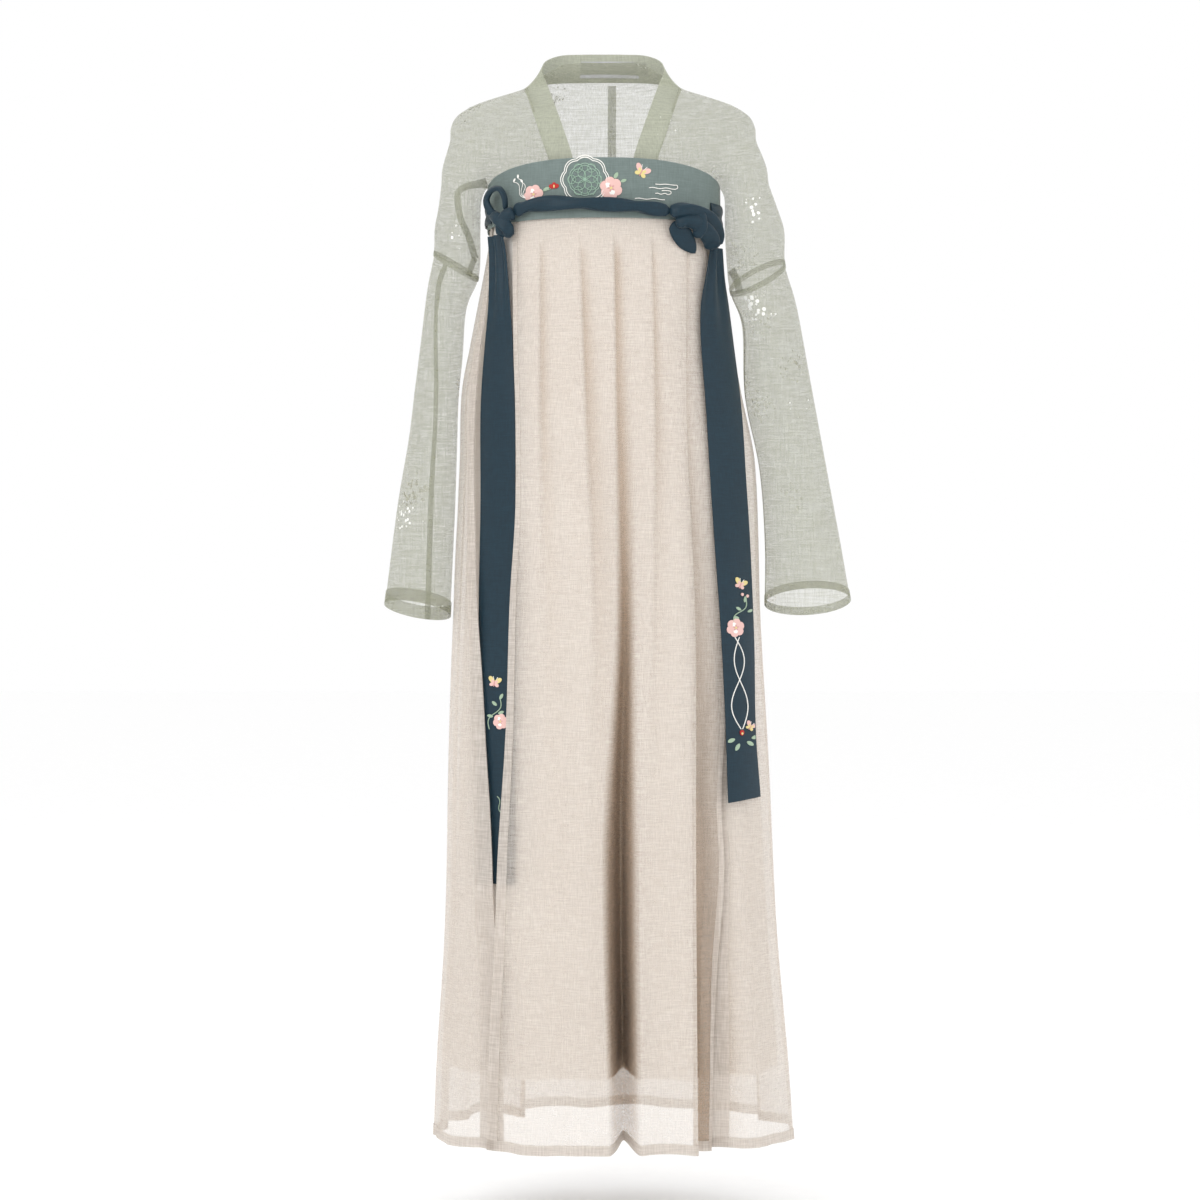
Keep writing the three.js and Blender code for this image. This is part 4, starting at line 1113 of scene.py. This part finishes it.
def sleeve_points(side, rows, angles, less=0.0, lift=0.0):
    """Places on a sleeve, in millimetres, with its creases. rows are rows of the arm's table."""
    rings = arm_rings(side, rows, angles, less)
    arm = ARMS[side]
    share = (rows - SEAM_ROW) / (len(arm["z"]) - 1 - SEAM_ROW)
    total = np.zeros(rings.shape[:2])
    degrees = np.degrees(angles)[None, :] % 360
    for a1, s1, a2, s2, depth, width in SLEEVE_CREASES[side]:
        along = np.clip((share - s1) / (s2 - s1), -1, 2)[:, None]
        line = a1 + (a2 - a1) * along + 8 * np.sin(along * 5)
        away = (degrees - line + 180) % 360 - 180
        taper = smooth(along / 0.25) * smooth((1 - along) / 0.25)
        total += depth * taper * smooth(1 - np.abs(away) * 0.85 / width)
    centre = rings.mean(1, keepdims=True)
    outward = rings - centre
    outward /= np.linalg.norm(outward, axis=2)[..., None]
    return rings - outward * (total - lift)[..., None]


def build_sleeves(sizes):
    """Sleeve extensions with a turned hem at the cuff and the doubled allowance of their seams."""
    for side in ("left", "right"):
        last = len(ARMS[side]["z"]) - 1
        rows = np.linspace(SEAM_ROW + 0.02, last, 130)
        angles = np.linspace(0, 2 * math.pi, 97)
        places = np.transpose(sleeve_points(side, rows, angles, 0.6), (1, 0, 2))
        piece = cloth_grid(f"sleeve_{side}_length", places, True)
        fix_normals(piece)
        thicken(piece, CLOTH)
        finish_piece(piece, MATERIALS["sage"], [f"sleeve_{side}"])
        cuff_rows = np.linspace(last - 0.13, last, 5)
        tube_strip(f"sleeve_{side}_hem", side, cuff_rows, angles, 0.3)
        seam_rows = np.linspace(SEAM_ROW - 0.1, SEAM_ROW + 0.06, 5)
        tube_strip(f"sleeve_{side}_joint", side, seam_rows, angles, 0.3)
        start, end = (292, 248) if side == "left" else (192, 182)
        line = np.linspace(0, 1, 120)
        middle = start + (end - start) * line + 9 * np.sin(line * 9) * (1 - line)
        wide = np.linspace(-1, 1, 5) * 4.5
        strip = []
        for share, degrees in zip(line, middle):
            row = np.array([SEAM_ROW + 0.05 + share * (last - SEAM_ROW - 0.05)])
            strip.append(sleeve_points(side, row, np.radians(degrees + wide), 0.6, 0.5)[0])
        seam = cloth_grid(f"sleeve_{side}_underarm_seam", np.transpose(np.array(strip), (1, 0, 2)))
        thicken(seam, 0.3, 0)
        finish_piece(seam, MATERIALS["sage_seam"], [])


def tube_strip(name, side, rows, angles, lift):
    places = sleeve_points(side, rows, angles, 0.6, lift + 0.3)
    piece = cloth_grid(name, np.transpose(places, (1, 0, 2)), True)
    fix_normals(piece)
    thicken(piece, 0.4, 1)
    return finish_piece(piece, MATERIALS["sage_seam"], [])


def fix_normals(piece):
    """Turns an open tube so that its faces look away from its own middle."""
    middle = sum((Vector(v.co) for v in piece.data.vertices), Vector()) / len(piece.data.vertices)
    face_out(piece, (middle.x, middle.y))


def body_front_y(x, z):
    size = [column(BODY, name, z) for name in ("half_width", "front", "power")]
    across = np.minimum(np.abs(x) / size[0], 1)
    return -size[1] * (1 - across ** size[2]) ** (1 / size[2])


def collar_edges():
    """Neck edge and seam edge of the collar from one front hem round to the centre back."""
    neck, seam = [], []
    for nx, nz, sx, sz, lift in COLLAR_FRONT:
        neck.append((nx, float(body_front_y(nx, nz)) - 0.2 - lift, nz))
        seam.append((sx, float(body_front_y(sx, sz)) - 0.2, sz))
    for nx, ny, nz, sx, sy, sz in COLLAR_NECK:
        neck.append((nx, ny, nz))
        seam.append((sx, sy, sz))
    return np.array(neck), np.array(seam)


def along_curve(points, at):
    knots = -np.arange(len(points), dtype=float)
    return np.stack([curve(knots, points[:, k], -at) for k in range(3)], -1)


def collar_surface(at, down, lift=0.0):
    """Points of the collar's right side, mirrored where at passes the centre back."""
    neck, seam = collar_edges()
    mirror = np.array([-1, 1, 1])
    neck = np.concatenate([neck, (neck * mirror)[-2::-1]])
    seam = np.concatenate([seam, (seam * mirror)[-2::-1]])
    a, b = along_curve(neck, at), along_curve(seam, at)
    place = a[:, None] * (1 - down[None, :, None]) + b[:, None] * down[None, :, None]
    along = np.gradient(place, axis=0)
    across = np.gradient(place, axis=1)
    normal = np.cross(along, across)
    normal /= np.linalg.norm(normal, axis=2)[..., None]
    swell = 1.2 * np.sin(math.pi * down)[None, :, None]
    return place + normal * (swell + lift)


def build_collar():
    """One doubled band round the neck and down both fronts, with a stitched seam edge, and the bare labels."""
    last = 2 * (len(COLLAR_FRONT) + len(COLLAR_NECK)) - 2
    at = np.linspace(0, last, 420)
    piece = cloth_grid("collar_length", collar_surface(at, np.linspace(0, 1, 15)))
    face_out(piece)
    thicken(piece, 1.1, 0)
    apply_modifier(piece, "BEVEL", width=0.35 * MM, segments=2, limit_method="ANGLE")
    finish_piece(piece, MATERIALS["collar"], ["collar_band"])
    labels = {"neck_label": (-28, 44, 0.26, 0.84), "size_tab": (45.5, 55.5, 0.3, 0.76)}
    for name, (x1, x2, top, bottom) in labels.items():
        samples = np.linspace(len(COLLAR_FRONT) + 1, last - len(COLLAR_FRONT) - 1, 400)
        neck = collar_edges()[0]
        both_sides = np.concatenate([neck, (neck * [-1, 1, 1])[-2::-1]])
        xs = along_curve(both_sides, samples)[:, 0]
        wanted = np.linspace(x1, x2, 26 if name == "neck_label" else 6)
        at = np.interp(-wanted, -xs, samples)
        label = cloth_grid(f"{name}_patch", collar_inside(at, np.linspace(top, bottom, 9)))
        thicken(label, 0.5, 0)
        finish_piece(label, MATERIALS["label"], [name])


def collar_inside(at, down):
    place = collar_surface(at, down)
    place[..., 1] -= 2.2
    return place


def build_body_seams():
    """Doubled allowances that show through the gauze: centre back, underarms and armhole folds."""
    blouse = [bpy.data.objects["blouse_left_half"], bpy.data.objects["blouse_right_half"]]
    trees = []
    for half in blouse:
        edit = bmesh.new()
        edit.from_mesh(half.data)
        trees.append(BVHTree.FromBMesh(edit))
        edit.free()
    lines = {  # x and z down the line, its width, and which way it is looked at: 1 from the front
        "centre_back_seam": (((12, 46), (12, -40), (12.5, -110), (12, -200), (12, -480)), 11, -1),
        "underarm_fold_left": (
            ((-150, -97), (-163, -103), (-176, -108), (-186, -118), (-183, -146), (-172, -172), (-165, -196)), 8, 1
        ),
        "underarm_fold_right": (
            ((150, -108), (160, -138), (157, -170), (160, -196), (172, -226), (176, -244)), 8, 1
        ),
        "underarm_seam_left": (((-165, -196), (-171, -214), (-176, -232)), 6, 1),
    }
    seams = {}
    for name, (points, width, way) in lines.items():
        points = np.array(points, float)
        knots = -np.arange(len(points), dtype=float)
        at = np.linspace(0, len(points) - 1, 60)
        x, z = curve(knots, points[:, 0], -at), curve(knots, points[:, 1], -at)
        slope = np.stack([np.gradient(x), np.gradient(z)], -1)
        slope /= np.linalg.norm(slope, axis=1)[:, None]
        strip = []
        for px, pz, (tx, tz) in zip(x, z, slope):
            row = []
            for across in np.linspace(-0.5, 0.5, 5):
                sx, sz = px + tz * width * across, pz - tx * width * across
                row.append((sx, ray_y(trees, sx, sz, way), sz))
            strip.append(row)
        strip = np.array(strip)
        known = ~np.isnan(strip[..., 1]).any(1)
        strip = strip[known]
        strip[..., 1] -= 0.5 * way
        seam = cloth_grid(name, strip)
        thicken(seam, 0.4, 0)
        seams[name] = finish_piece(seam, MATERIALS["sage_seam"], [])
    return seams


def ray_y(trees, x, z, way):
    """The y of the blouse at x and z, seen from the front or from behind, or nothing."""
    found = []
    for tree in trees:
        hit = tree.ray_cast(Vector((x * MM, -0.5 * way, z * MM)), Vector((0, way, 0)))
        if hit[0] is not None:
            found.append(hit[0].y / MM)
    if not found:
        return math.nan
    return min(found) if way > 0 else max(found)


# Embroidery ------------------------------------------------------------------------------------------


class Stitching:
    """Collects raised thread shapes on a flat chart of x and z, to be laid on cloth."""

    def __init__(self):
        self.shapes = []

    def fill(self, outline, thread, height):
        self.shapes.append((np.array(outline, float), thread, height))

    def line(self, points, width, thread, height=0.7):
        points = np.array(points, float)
        ahead = np.gradient(points, axis=0)
        ahead /= np.linalg.norm(ahead, axis=1)[:, None] + 1e-9
        side = np.stack([-ahead[:, 1], ahead[:, 0]], -1) * width / 2
        for k in range(len(points) - 1):
            near, far = side[k], side[k + 1]
            quad = [points[k] - near, points[k + 1] - far, points[k + 1] + far, points[k] + near]
            self.fill(quad, thread, height)

    def petal(self, centre, reach, width, degrees, thread, height, start=0.0):
        t = np.linspace(0, 2 * math.pi, 15)[:-1]
        along = start + (reach - start) * (1 - np.cos(t)) / 2
        across = np.sin(t) * width / 2 * (0.75 + 0.25 * (1 - np.cos(t)) / 2)
        a = math.radians(degrees)
        x = centre[0] + along * math.cos(a) - across * math.sin(a)
        z = centre[1] + along * math.sin(a) + across * math.cos(a)
        self.fill(np.stack([x, z], -1), thread, height)

    def leaf(self, centre, reach, width, degrees, thread="leaf"):
        t = np.linspace(0, math.pi, 8)
        along = reach * (1 - np.cos(t)) / 2
        across = np.sin(t) ** 1.3 * width / 2
        a = math.radians(degrees)
        both = np.concatenate([np.stack([along, across], -1), np.stack([along, -across], -1)[-2:0:-1]])
        x = centre[0] + both[:, 0] * math.cos(a) - both[:, 1] * math.sin(a)
        z = centre[1] + both[:, 0] * math.sin(a) + both[:, 1] * math.cos(a)
        self.fill(np.stack([x, z], -1), thread, 0.7)

    def blossom(self, centre, radius, turn, outer="pink", inner="rose"):
        for k in range(6):
            self.petal(centre, radius, radius * 1.0, turn + 60 * k, outer, 0.7 + 0.05 * (k % 3))
        for k in range(5):
            self.petal(centre, radius * 0.62, radius * 0.55, turn + 30 + 72 * k, "white" if k % 2 else outer, 1.0)
        for k in range(5):
            self.petal(centre, radius * 0.34, radius * 0.2, turn + 72 * k, inner, 1.2)
        self.petal(centre, radius * 0.14, radius * 0.24, turn, "gold", 1.4, -radius * 0.14)

    def butterfly(self, centre, size, degrees, wing="pink", lower="gold"):
        for side in (-1, 1):
            self.petal(centre, size, size * 0.6, degrees + side * 48, wing, 0.8)
            self.petal(centre, size * 0.6, size * 0.3, degrees + side * 48, lower, 1.0)
            self.petal(centre, size * 0.62, size * 0.46, degrees + side * 118, lower, 0.8)
        self.petal(centre, size * 0.34, size * 0.13, degrees, "rose", 1.2, -size * 0.42)
        for side in (-1, 1):
            a = math.radians(degrees + 20 * side)
            tip = (centre[0] + math.cos(a) * size * 0.8, centre[1] + math.sin(a) * size * 0.8)
            self.line([centre, tip], size * 0.05, "white")

    def ring(self, centre, radius, lobes, depth, width, thread, turn=0.0, part=(0, 360)):
        t = np.radians(np.linspace(part[0], part[1], 97))
        r = radius * (1 + depth * np.abs(np.cos(lobes * (t - turn) / 2)))
        self.line(np.stack([centre[0] + r * np.cos(t), centre[1] + r * np.sin(t)], -1), width, thread)

    def lay(self, name, surface):
        """Makes the shapes as raised threads on a surface, given as a function of x, z and how far out."""
        vertices, faces, threads = [], [], []
        names = list(THREADS)
        outlines = np.concatenate([outline for outline, _, _ in self.shapes])
        raised = np.concatenate([np.full(len(outline), height) for outline, _, height in self.shapes])
        middles = np.array([outline.mean(0) for outline, _, _ in self.shapes])
        heights = np.array([height for _, _, height in self.shapes])
        tops = surface(outlines[:, 0], outlines[:, 1], raised) * MM
        bases = surface(outlines[:, 0], outlines[:, 1], 0.05 + 0 * raised) * MM
        crowns = surface(middles[:, 0], middles[:, 1], heights + 0.35) * MM
        used = 0
        for crown, (outline, thread, _) in zip(crowns, self.shapes):
            count, start = len(outline), len(vertices)
            own = slice(used, used + count)
            used += count
            vertices += [*bases[own].tolist(), *tops[own].tolist(), crown.tolist()]
            hub = start + 2 * count
            for i in range(count):
                j = (i + 1) % count
                faces.append((start + i, start + j, start + count + j, start + count + i))
                faces.append((start + count + i, start + count + j, hub))
            faces.append(tuple(start + i for i in reversed(range(count))))
            threads += [names.index(thread)] * (2 * count + 1)
        mesh = bpy.data.meshes.new(name)
        mesh.from_pydata(vertices, [], faces)
        for thread in names:
            mesh.materials.append(MATERIALS[thread])
        mesh.polygons.foreach_set("material_index", threads)
        piece = bpy.data.objects.new(name, mesh)
        bpy.context.scene.collection.objects.link(piece)
        edit = bmesh.new()
        edit.from_mesh(mesh)
        bmesh.ops.recalc_face_normals(edit, faces=edit.faces)
        edit.to_mesh(mesh)
        edit.free()
        return piece


def s_curve(start, end, bow, count=26):
    """Points from start to end that bow to one side and then the other."""
    t = np.linspace(0, 1, count)
    start, end = np.array(start, float), np.array(end, float)
    side = np.array([-(end - start)[1], (end - start)[0]])
    return start + (end - start) * t[:, None] + side * (bow * np.sin(2 * math.pi * t))[:, None]


def build_embroidery():
    """Blossoms, a lobed roundel, butterflies and cloud lines on the band, and sprays near the tails' ends."""
    band = Stitching()
    hub = (-23, -107)
    for radius, width in ((25.5, 1.1), (28, 1.1)):
        band.ring(hub, radius, 8, 0.09, width, "white")
    for k in range(6):
        a = math.radians(60 * k + 30)
        band.ring((hub[0] + 9 * math.cos(a), hub[1] + 9 * math.sin(a)), 8.8, 1, 0, 0.8, "mint")
        band.ring((hub[0] + 16.5 * math.cos(a - 0.52), hub[1] + 16.5 * math.sin(a - 0.52)), 5.2, 1, 0, 0.8, "mint")
    band.ring(hub, 19.5, 12, 0.05, 0.8, "mint")
    band.blossom((-88, -124), 12.5, 10)
    band.blossom((10, -118), 14.5, 40)
    band.leaf((14, -106), 9, 5, 60)
    band.leaf((22, -110), 8, 4, 20)
    band.leaf((-76, -120), 9, 4.5, 25)
    for degrees in (150, 90, 35):
        band.petal((-62, -117), 7, 6, degrees, "red", 0.9)
    band.petal((-62, -117), 4, 2.2, 90, "gold", 1.2)
    band.line(s_curve((-76, -121), (-66, -117), 0.1), 0.9, "leaf")
    for k, (dx, dz) in enumerate(((-16, 14), (-10, 18), (-4, 12))):
        band.line(s_curve((-98, -128), (-98 + dx, -120 + dz), 0.12), 0.8, "white")
        band.leaf((-98 + dx, -120 + dz), 5, 2.6, 60 + 30 * k, "white")
    band.butterfly((48, -98), 13, 62, "pink", "gold")
    for x1, x2, z, lift in ((58, 92, -117, 5), (66, 84, -124, 4), (40, 78, -131, 0)):
        t = np.linspace(0, 1, 20)
        band.line(np.stack([x1 + (x2 - x1) * t, z + 0.6 * np.sin(t * 12)], -1), 1.0, "white")
        if lift:
            a = np.linspace(-math.pi / 2, math.pi / 2, 12)
            band.line(np.stack([x2 + lift / 2 * np.cos(a), z + lift / 2 + lift / 2 * np.sin(a)], -1), 1.0, "white")
            back = np.linspace(x2, x1 + 8, 12)
            band.line(np.stack([back, z + lift + 0.3 * np.sin(back / 3)], -1), 1.0, "white")
    piece = band.lay("band_embroidery", lambda x, z, out: band_point(x, z, BAND_OUT + 0.6 + out))
    finish_piece(piece, None, [], 35)

    right = Stitching()
    right.butterfly((170, -618), 11, 70, "gold", "pink")
    right.line(s_curve((161, -668), (178, -636), 0.12), 1.0, "leaf")
    for x, z, degrees in ((176, -640, 80), (171, -650, 150), (180, -652, 20), (168, -660, 170)):
        right.leaf((x, z), 8, 3.6, degrees)
    for x, z in ((180, -634), (173, -632)):
        right.petal((x, z), 4, 4, 90, "pink", 0.9)
    right.blossom((163, -672), 12, 20)
    right.line(s_curve((162, -684), (170, -800), 0.09, 50), 1.0, "white")
    right.line(s_curve((168, -684), (172, -800), -0.07, 50), 1.0, "white")
    right.petal((171, -806), 5, 6, 90, "red", 1.2, -2)
    right.petal((171, -806), 2, 3, 90, "gold", 1.5, -1)
    right.butterfly((182, -798), 9, 60, "pink", "gold")
    for x, z, degrees in ((162, -812, 200), (168, -818, 240), (178, -816, 330), (184, -812, 10)):
        right.leaf((x, z), 10, 5, degrees)
    piece = right.lay("tail_embroidery_right", lambda x, z, out: on_tail("right", x, z, out))
    finish_piece(piece, None, [], 35)

    left = Stitching()
    left.butterfly((-139, -742), 11, 80, "gold", "pink")
    left.line(s_curve((-146, -800), (-132, -760), 0.12), 1.0, "leaf")
    for x, z, degrees in ((-136, -770, 140), (-132, -762, 60), (-141, -784, 170), (-134, -780, 20)):
        left.leaf((x, z), 8, 4, degrees)
    left.blossom((-131, -790), 10, 15)
    left.line(s_curve((-136, -884), (-130, -905), 0.1), 0.9, "leaf")
    piece = left.lay("tail_embroidery_left", lambda x, z, out: on_tail("left", x, z, out))
    finish_piece(piece, None, [], 35)


def on_tail(side, x, z, out):
    rows = TAILS[side]
    left, right = column(rows, "left", z), column(rows, "right", z)
    across = np.clip((x - left) / (right - left), 0.04, 0.96)
    return tail_surface(side, across, z, out + 0.6)


# Stage -----------------------------------------------------------------------------------------------


def build_stage(view):
    """Pale floor, soft studio light, and the camera level with the middle of the set, in front of it."""
    low, high = CAD_BOX
    bpy.ops.object.select_all(action="DESELECT")
    bpy.ops.mesh.primitive_plane_add(size=40, location=(0, 0, 0))
    floor = bpy.context.object
    floor.name = "floor"
    for vertex in floor.data.vertices:
        vertex.co.z = low[2] - 0.11
    material, tree = new_material("Pale studio floor")
    place = add_node(tree, "ShaderNodeTexCoord").outputs["Object"]
    grain = add_node(tree, "ShaderNodeTexNoise", {"Scale": 40}, {"Vector": place}).outputs["Fac"]
    tone = mixed(tree, ranged(tree, grain, 0.3, 0.7, 0, 1), "#fdfdfd", "#ffffff")
    shader = add_node(tree, "ShaderNodeBsdfPrincipled", {"Roughness": 0.9}, {"Base Color": tone})
    add_node(tree, "ShaderNodeOutputMaterial", {}, {"Surface": shader.outputs[0]})
    floor.data.materials.append(material)

    world = bpy.data.worlds.new("Soft white surround")
    world.use_nodes = True
    world.node_tree.nodes["Background"].inputs["Color"].default_value = (1, 1, 1, 1)
    world.node_tree.nodes["Background"].inputs["Strength"].default_value = view.surround
    scene = bpy.context.scene
    scene.world = world
    lights = (  # name, place, what it looks at, width, watts
        ("key", (-1.7, -2.4, 0.9), (0, 0, -0.6), 1.6, view.key),
        ("fill", (2.2, -1.9, 0.1), (0, 0, -0.7), 2.0, view.key * 0.45),
        ("top", (0.2, 0.6, 2.2), (0, 0, -0.5), 2.2, view.key * 0.5),
    )
    for name, place, target, width, watts in lights:
        bpy.ops.object.light_add(type="AREA", location=place)
        light = bpy.context.object
        light.name = name + "_light"
        light.data.size = width
        light.data.energy = watts
        light.rotation_euler = (Vector(target) - Vector(place)).to_track_quat("-Z", "Y").to_euler()

    bpy.ops.object.camera_add(
        location=(view.camera_x * MM, -view.camera_distance * MM, view.camera_z * MM), rotation=(math.pi / 2, 0, 0)
    )
    camera = bpy.context.object
    camera.name = "camera"
    camera.data.sensor_width = 36
    camera.data.lens = 36 * view.camera_distance / view.frame_width
    camera.data.clip_end = 100
    scene.camera = camera
    scene.view_settings.view_transform = "Standard"
    scene.cycles.transparent_max_bounces = 28


# Add-on ----------------------------------------------------------------------------------------------


class RuqunSizes(bpy.types.PropertyGroup):
    """Sizes and detail of the cloth that a user would change."""

    columns: bpy.props.IntProperty(
        name="Columns", description="Grid columns between two pleats", default=22, min=6
    )
    rows: bpy.props.IntProperty(name="Rows", description="Grid rows down a skirt panel", default=190, min=40)
    waviness: bpy.props.FloatProperty(
        name="Waviness", description="How far hanging cloth strays, in millimetres", default=5.0, min=0
    )
    voxel: bpy.props.FloatProperty(
        name="Voxel", description="Detail of the blouse body, in millimetres", default=4.5, min=2
    )


class RuqunColours(bpy.types.PropertyGroup):
    """Colours of the cloths, as sRGB hex values."""

    sage: bpy.props.StringProperty(name="Sage", description="Blouse gauze", default="#b6b7a3")
    collar: bpy.props.StringProperty(
        name="Collar", description="Doubled gauze of the collar", default="#c0c3b1"
    )
    cream: bpy.props.StringProperty(name="Cream", description="Outer skirt crepe", default="#efe9e2")
    lining: bpy.props.StringProperty(name="Lining", description="Skirt lining", default="#e8e3dd")
    band: bpy.props.StringProperty(name="Band", description="Chest band", default="#75827f")
    tie: bpy.props.StringProperty(name="Ties", description="Ties and tails", default="#12303e")


class RuqunView(bpy.types.PropertyGroup):
    """Camera and light."""

    camera_x: bpy.props.FloatProperty(name="Camera X", description="Millimetres to the side", default=-3.9)
    camera_z: bpy.props.FloatProperty(name="Camera Z", description="Height in millimetres", default=-637)
    camera_distance: bpy.props.FloatProperty(
        name="Distance", description="Millimetres in front", default=3500, min=1
    )
    frame_width: bpy.props.FloatProperty(
        name="Frame width", description="Millimetres seen across at the middle of the set", default=1560, min=1
    )
    surround: bpy.props.FloatProperty(
        name="Surround", description="Strength of the white surround", default=1.0, min=0
    )
    key: bpy.props.FloatProperty(
        name="Key light", description="Power of the key light", default=26, unit="POWER"
    )


class RUQUN_OT_stage(bpy.types.Operator):
    """Add the floor, the light and the camera"""

    bl_idname = "ruqun.stage"
    bl_label = "Stage"

    def execute(self, context):
        build_stage(context.scene.ruqun_view)
        return {"FINISHED"}


class RUQUN_OT_cloths(bpy.types.Operator):
    """Make the finishes of every cloth and thread"""

    bl_idname = "ruqun.cloths"
    bl_label = "Cloths"

    def execute(self, context):
        MATERIALS.update(make_materials(context.scene.ruqun_colours))
        return {"FINISHED"}


class RUQUN_OT_skirt(bpy.types.Operator):
    """Add the two sheer skirt panels with their hems"""

    bl_idname = "ruqun.skirt"
    bl_label = "Skirt panels"

    def execute(self, context):
        build_skirt(context.scene.ruqun_sizes)
        return {"FINISHED"}


class RUQUN_OT_lining(bpy.types.Operator):
    """Add the opaque lining"""

    bl_idname = "ruqun.lining"
    bl_label = "Lining"

    def execute(self, context):
        build_lining(context.scene.ruqun_sizes)
        return {"FINISHED"}


class RUQUN_OT_band(bpy.types.Operator):
    """Add the chest band"""

    bl_idname = "ruqun.band"
    bl_label = "Chest band"

    def execute(self, context):
        build_band()
        return {"FINISHED"}


class RUQUN_OT_ties(bpy.types.Operator):
    """Add the ties, knots and tails"""

    bl_idname = "ruqun.ties"
    bl_label = "Ties"

    def execute(self, context):
        build_ties(context.scene.ruqun_sizes)
        return {"FINISHED"}


class RUQUN_OT_blouse(bpy.types.Operator):
    """Add the two halves of the blouse body and their seams"""

    bl_idname = "ruqun.blouse"
    bl_label = "Blouse body"

    def execute(self, context):
        build_blouse(context.scene.ruqun_sizes)
        return {"FINISHED"}


class RUQUN_OT_sleeves(bpy.types.Operator):
    """Add the sleeve extensions"""

    bl_idname = "ruqun.sleeves"
    bl_label = "Sleeves"

    def execute(self, context):
        build_sleeves(context.scene.ruqun_sizes)
        return {"FINISHED"}


class RUQUN_OT_collar(bpy.types.Operator):
    """Add the collar band and the bare labels"""

    bl_idname = "ruqun.collar"
    bl_label = "Collar"

    def execute(self, context):
        build_collar()
        return {"FINISHED"}


class RUQUN_OT_embroidery(bpy.types.Operator):
    """Add the embroidery of the band and of the tails"""

    bl_idname = "ruqun.embroidery"
    bl_label = "Embroidery"

    def execute(self, context):
        build_embroidery()
        return {"FINISHED"}


OPERATORS = (
    RUQUN_OT_stage,
    RUQUN_OT_cloths,
    RUQUN_OT_skirt,
    RUQUN_OT_lining,
    RUQUN_OT_band,
    RUQUN_OT_ties,
    RUQUN_OT_blouse,
    RUQUN_OT_sleeves,
    RUQUN_OT_collar,
    RUQUN_OT_embroidery,
)


class RUQUN_PT_panel(bpy.types.Panel):
    """Lists the pieces of the set"""

    bl_idname = "RUQUN_PT_panel"
    bl_label = "Ruqun set"
    bl_space_type = "VIEW_3D"
    bl_region_type = "UI"
    bl_category = "Ruqun"

    def draw(self, context):
        for group in ("ruqun_sizes", "ruqun_colours", "ruqun_view"):
            settings = getattr(context.scene, group)
            for name in settings.__annotations__:
                self.layout.prop(settings, name)
        for operator in OPERATORS:
            self.layout.operator(operator.bl_idname)


GROUPS = {"ruqun_sizes": RuqunSizes, "ruqun_colours": RuqunColours, "ruqun_view": RuqunView}


def register():
    for name, group in GROUPS.items():
        bpy.utils.register_class(group)
        setattr(bpy.types.Scene, name, bpy.props.PointerProperty(type=group))
    for kind in (*OPERATORS, RUQUN_PT_panel):
        bpy.utils.register_class(kind)


def unregister():
    for kind in reversed((*OPERATORS, RUQUN_PT_panel)):
        bpy.utils.unregister_class(kind)
    for name, group in GROUPS.items():
        delattr(bpy.types.Scene, name)
        bpy.utils.unregister_class(group)


def main():
    register()
    for operator in OPERATORS:
        group, name = operator.bl_idname.split(".")
        getattr(getattr(bpy.ops, group), name)()


if __name__ == "__main__":
    main()
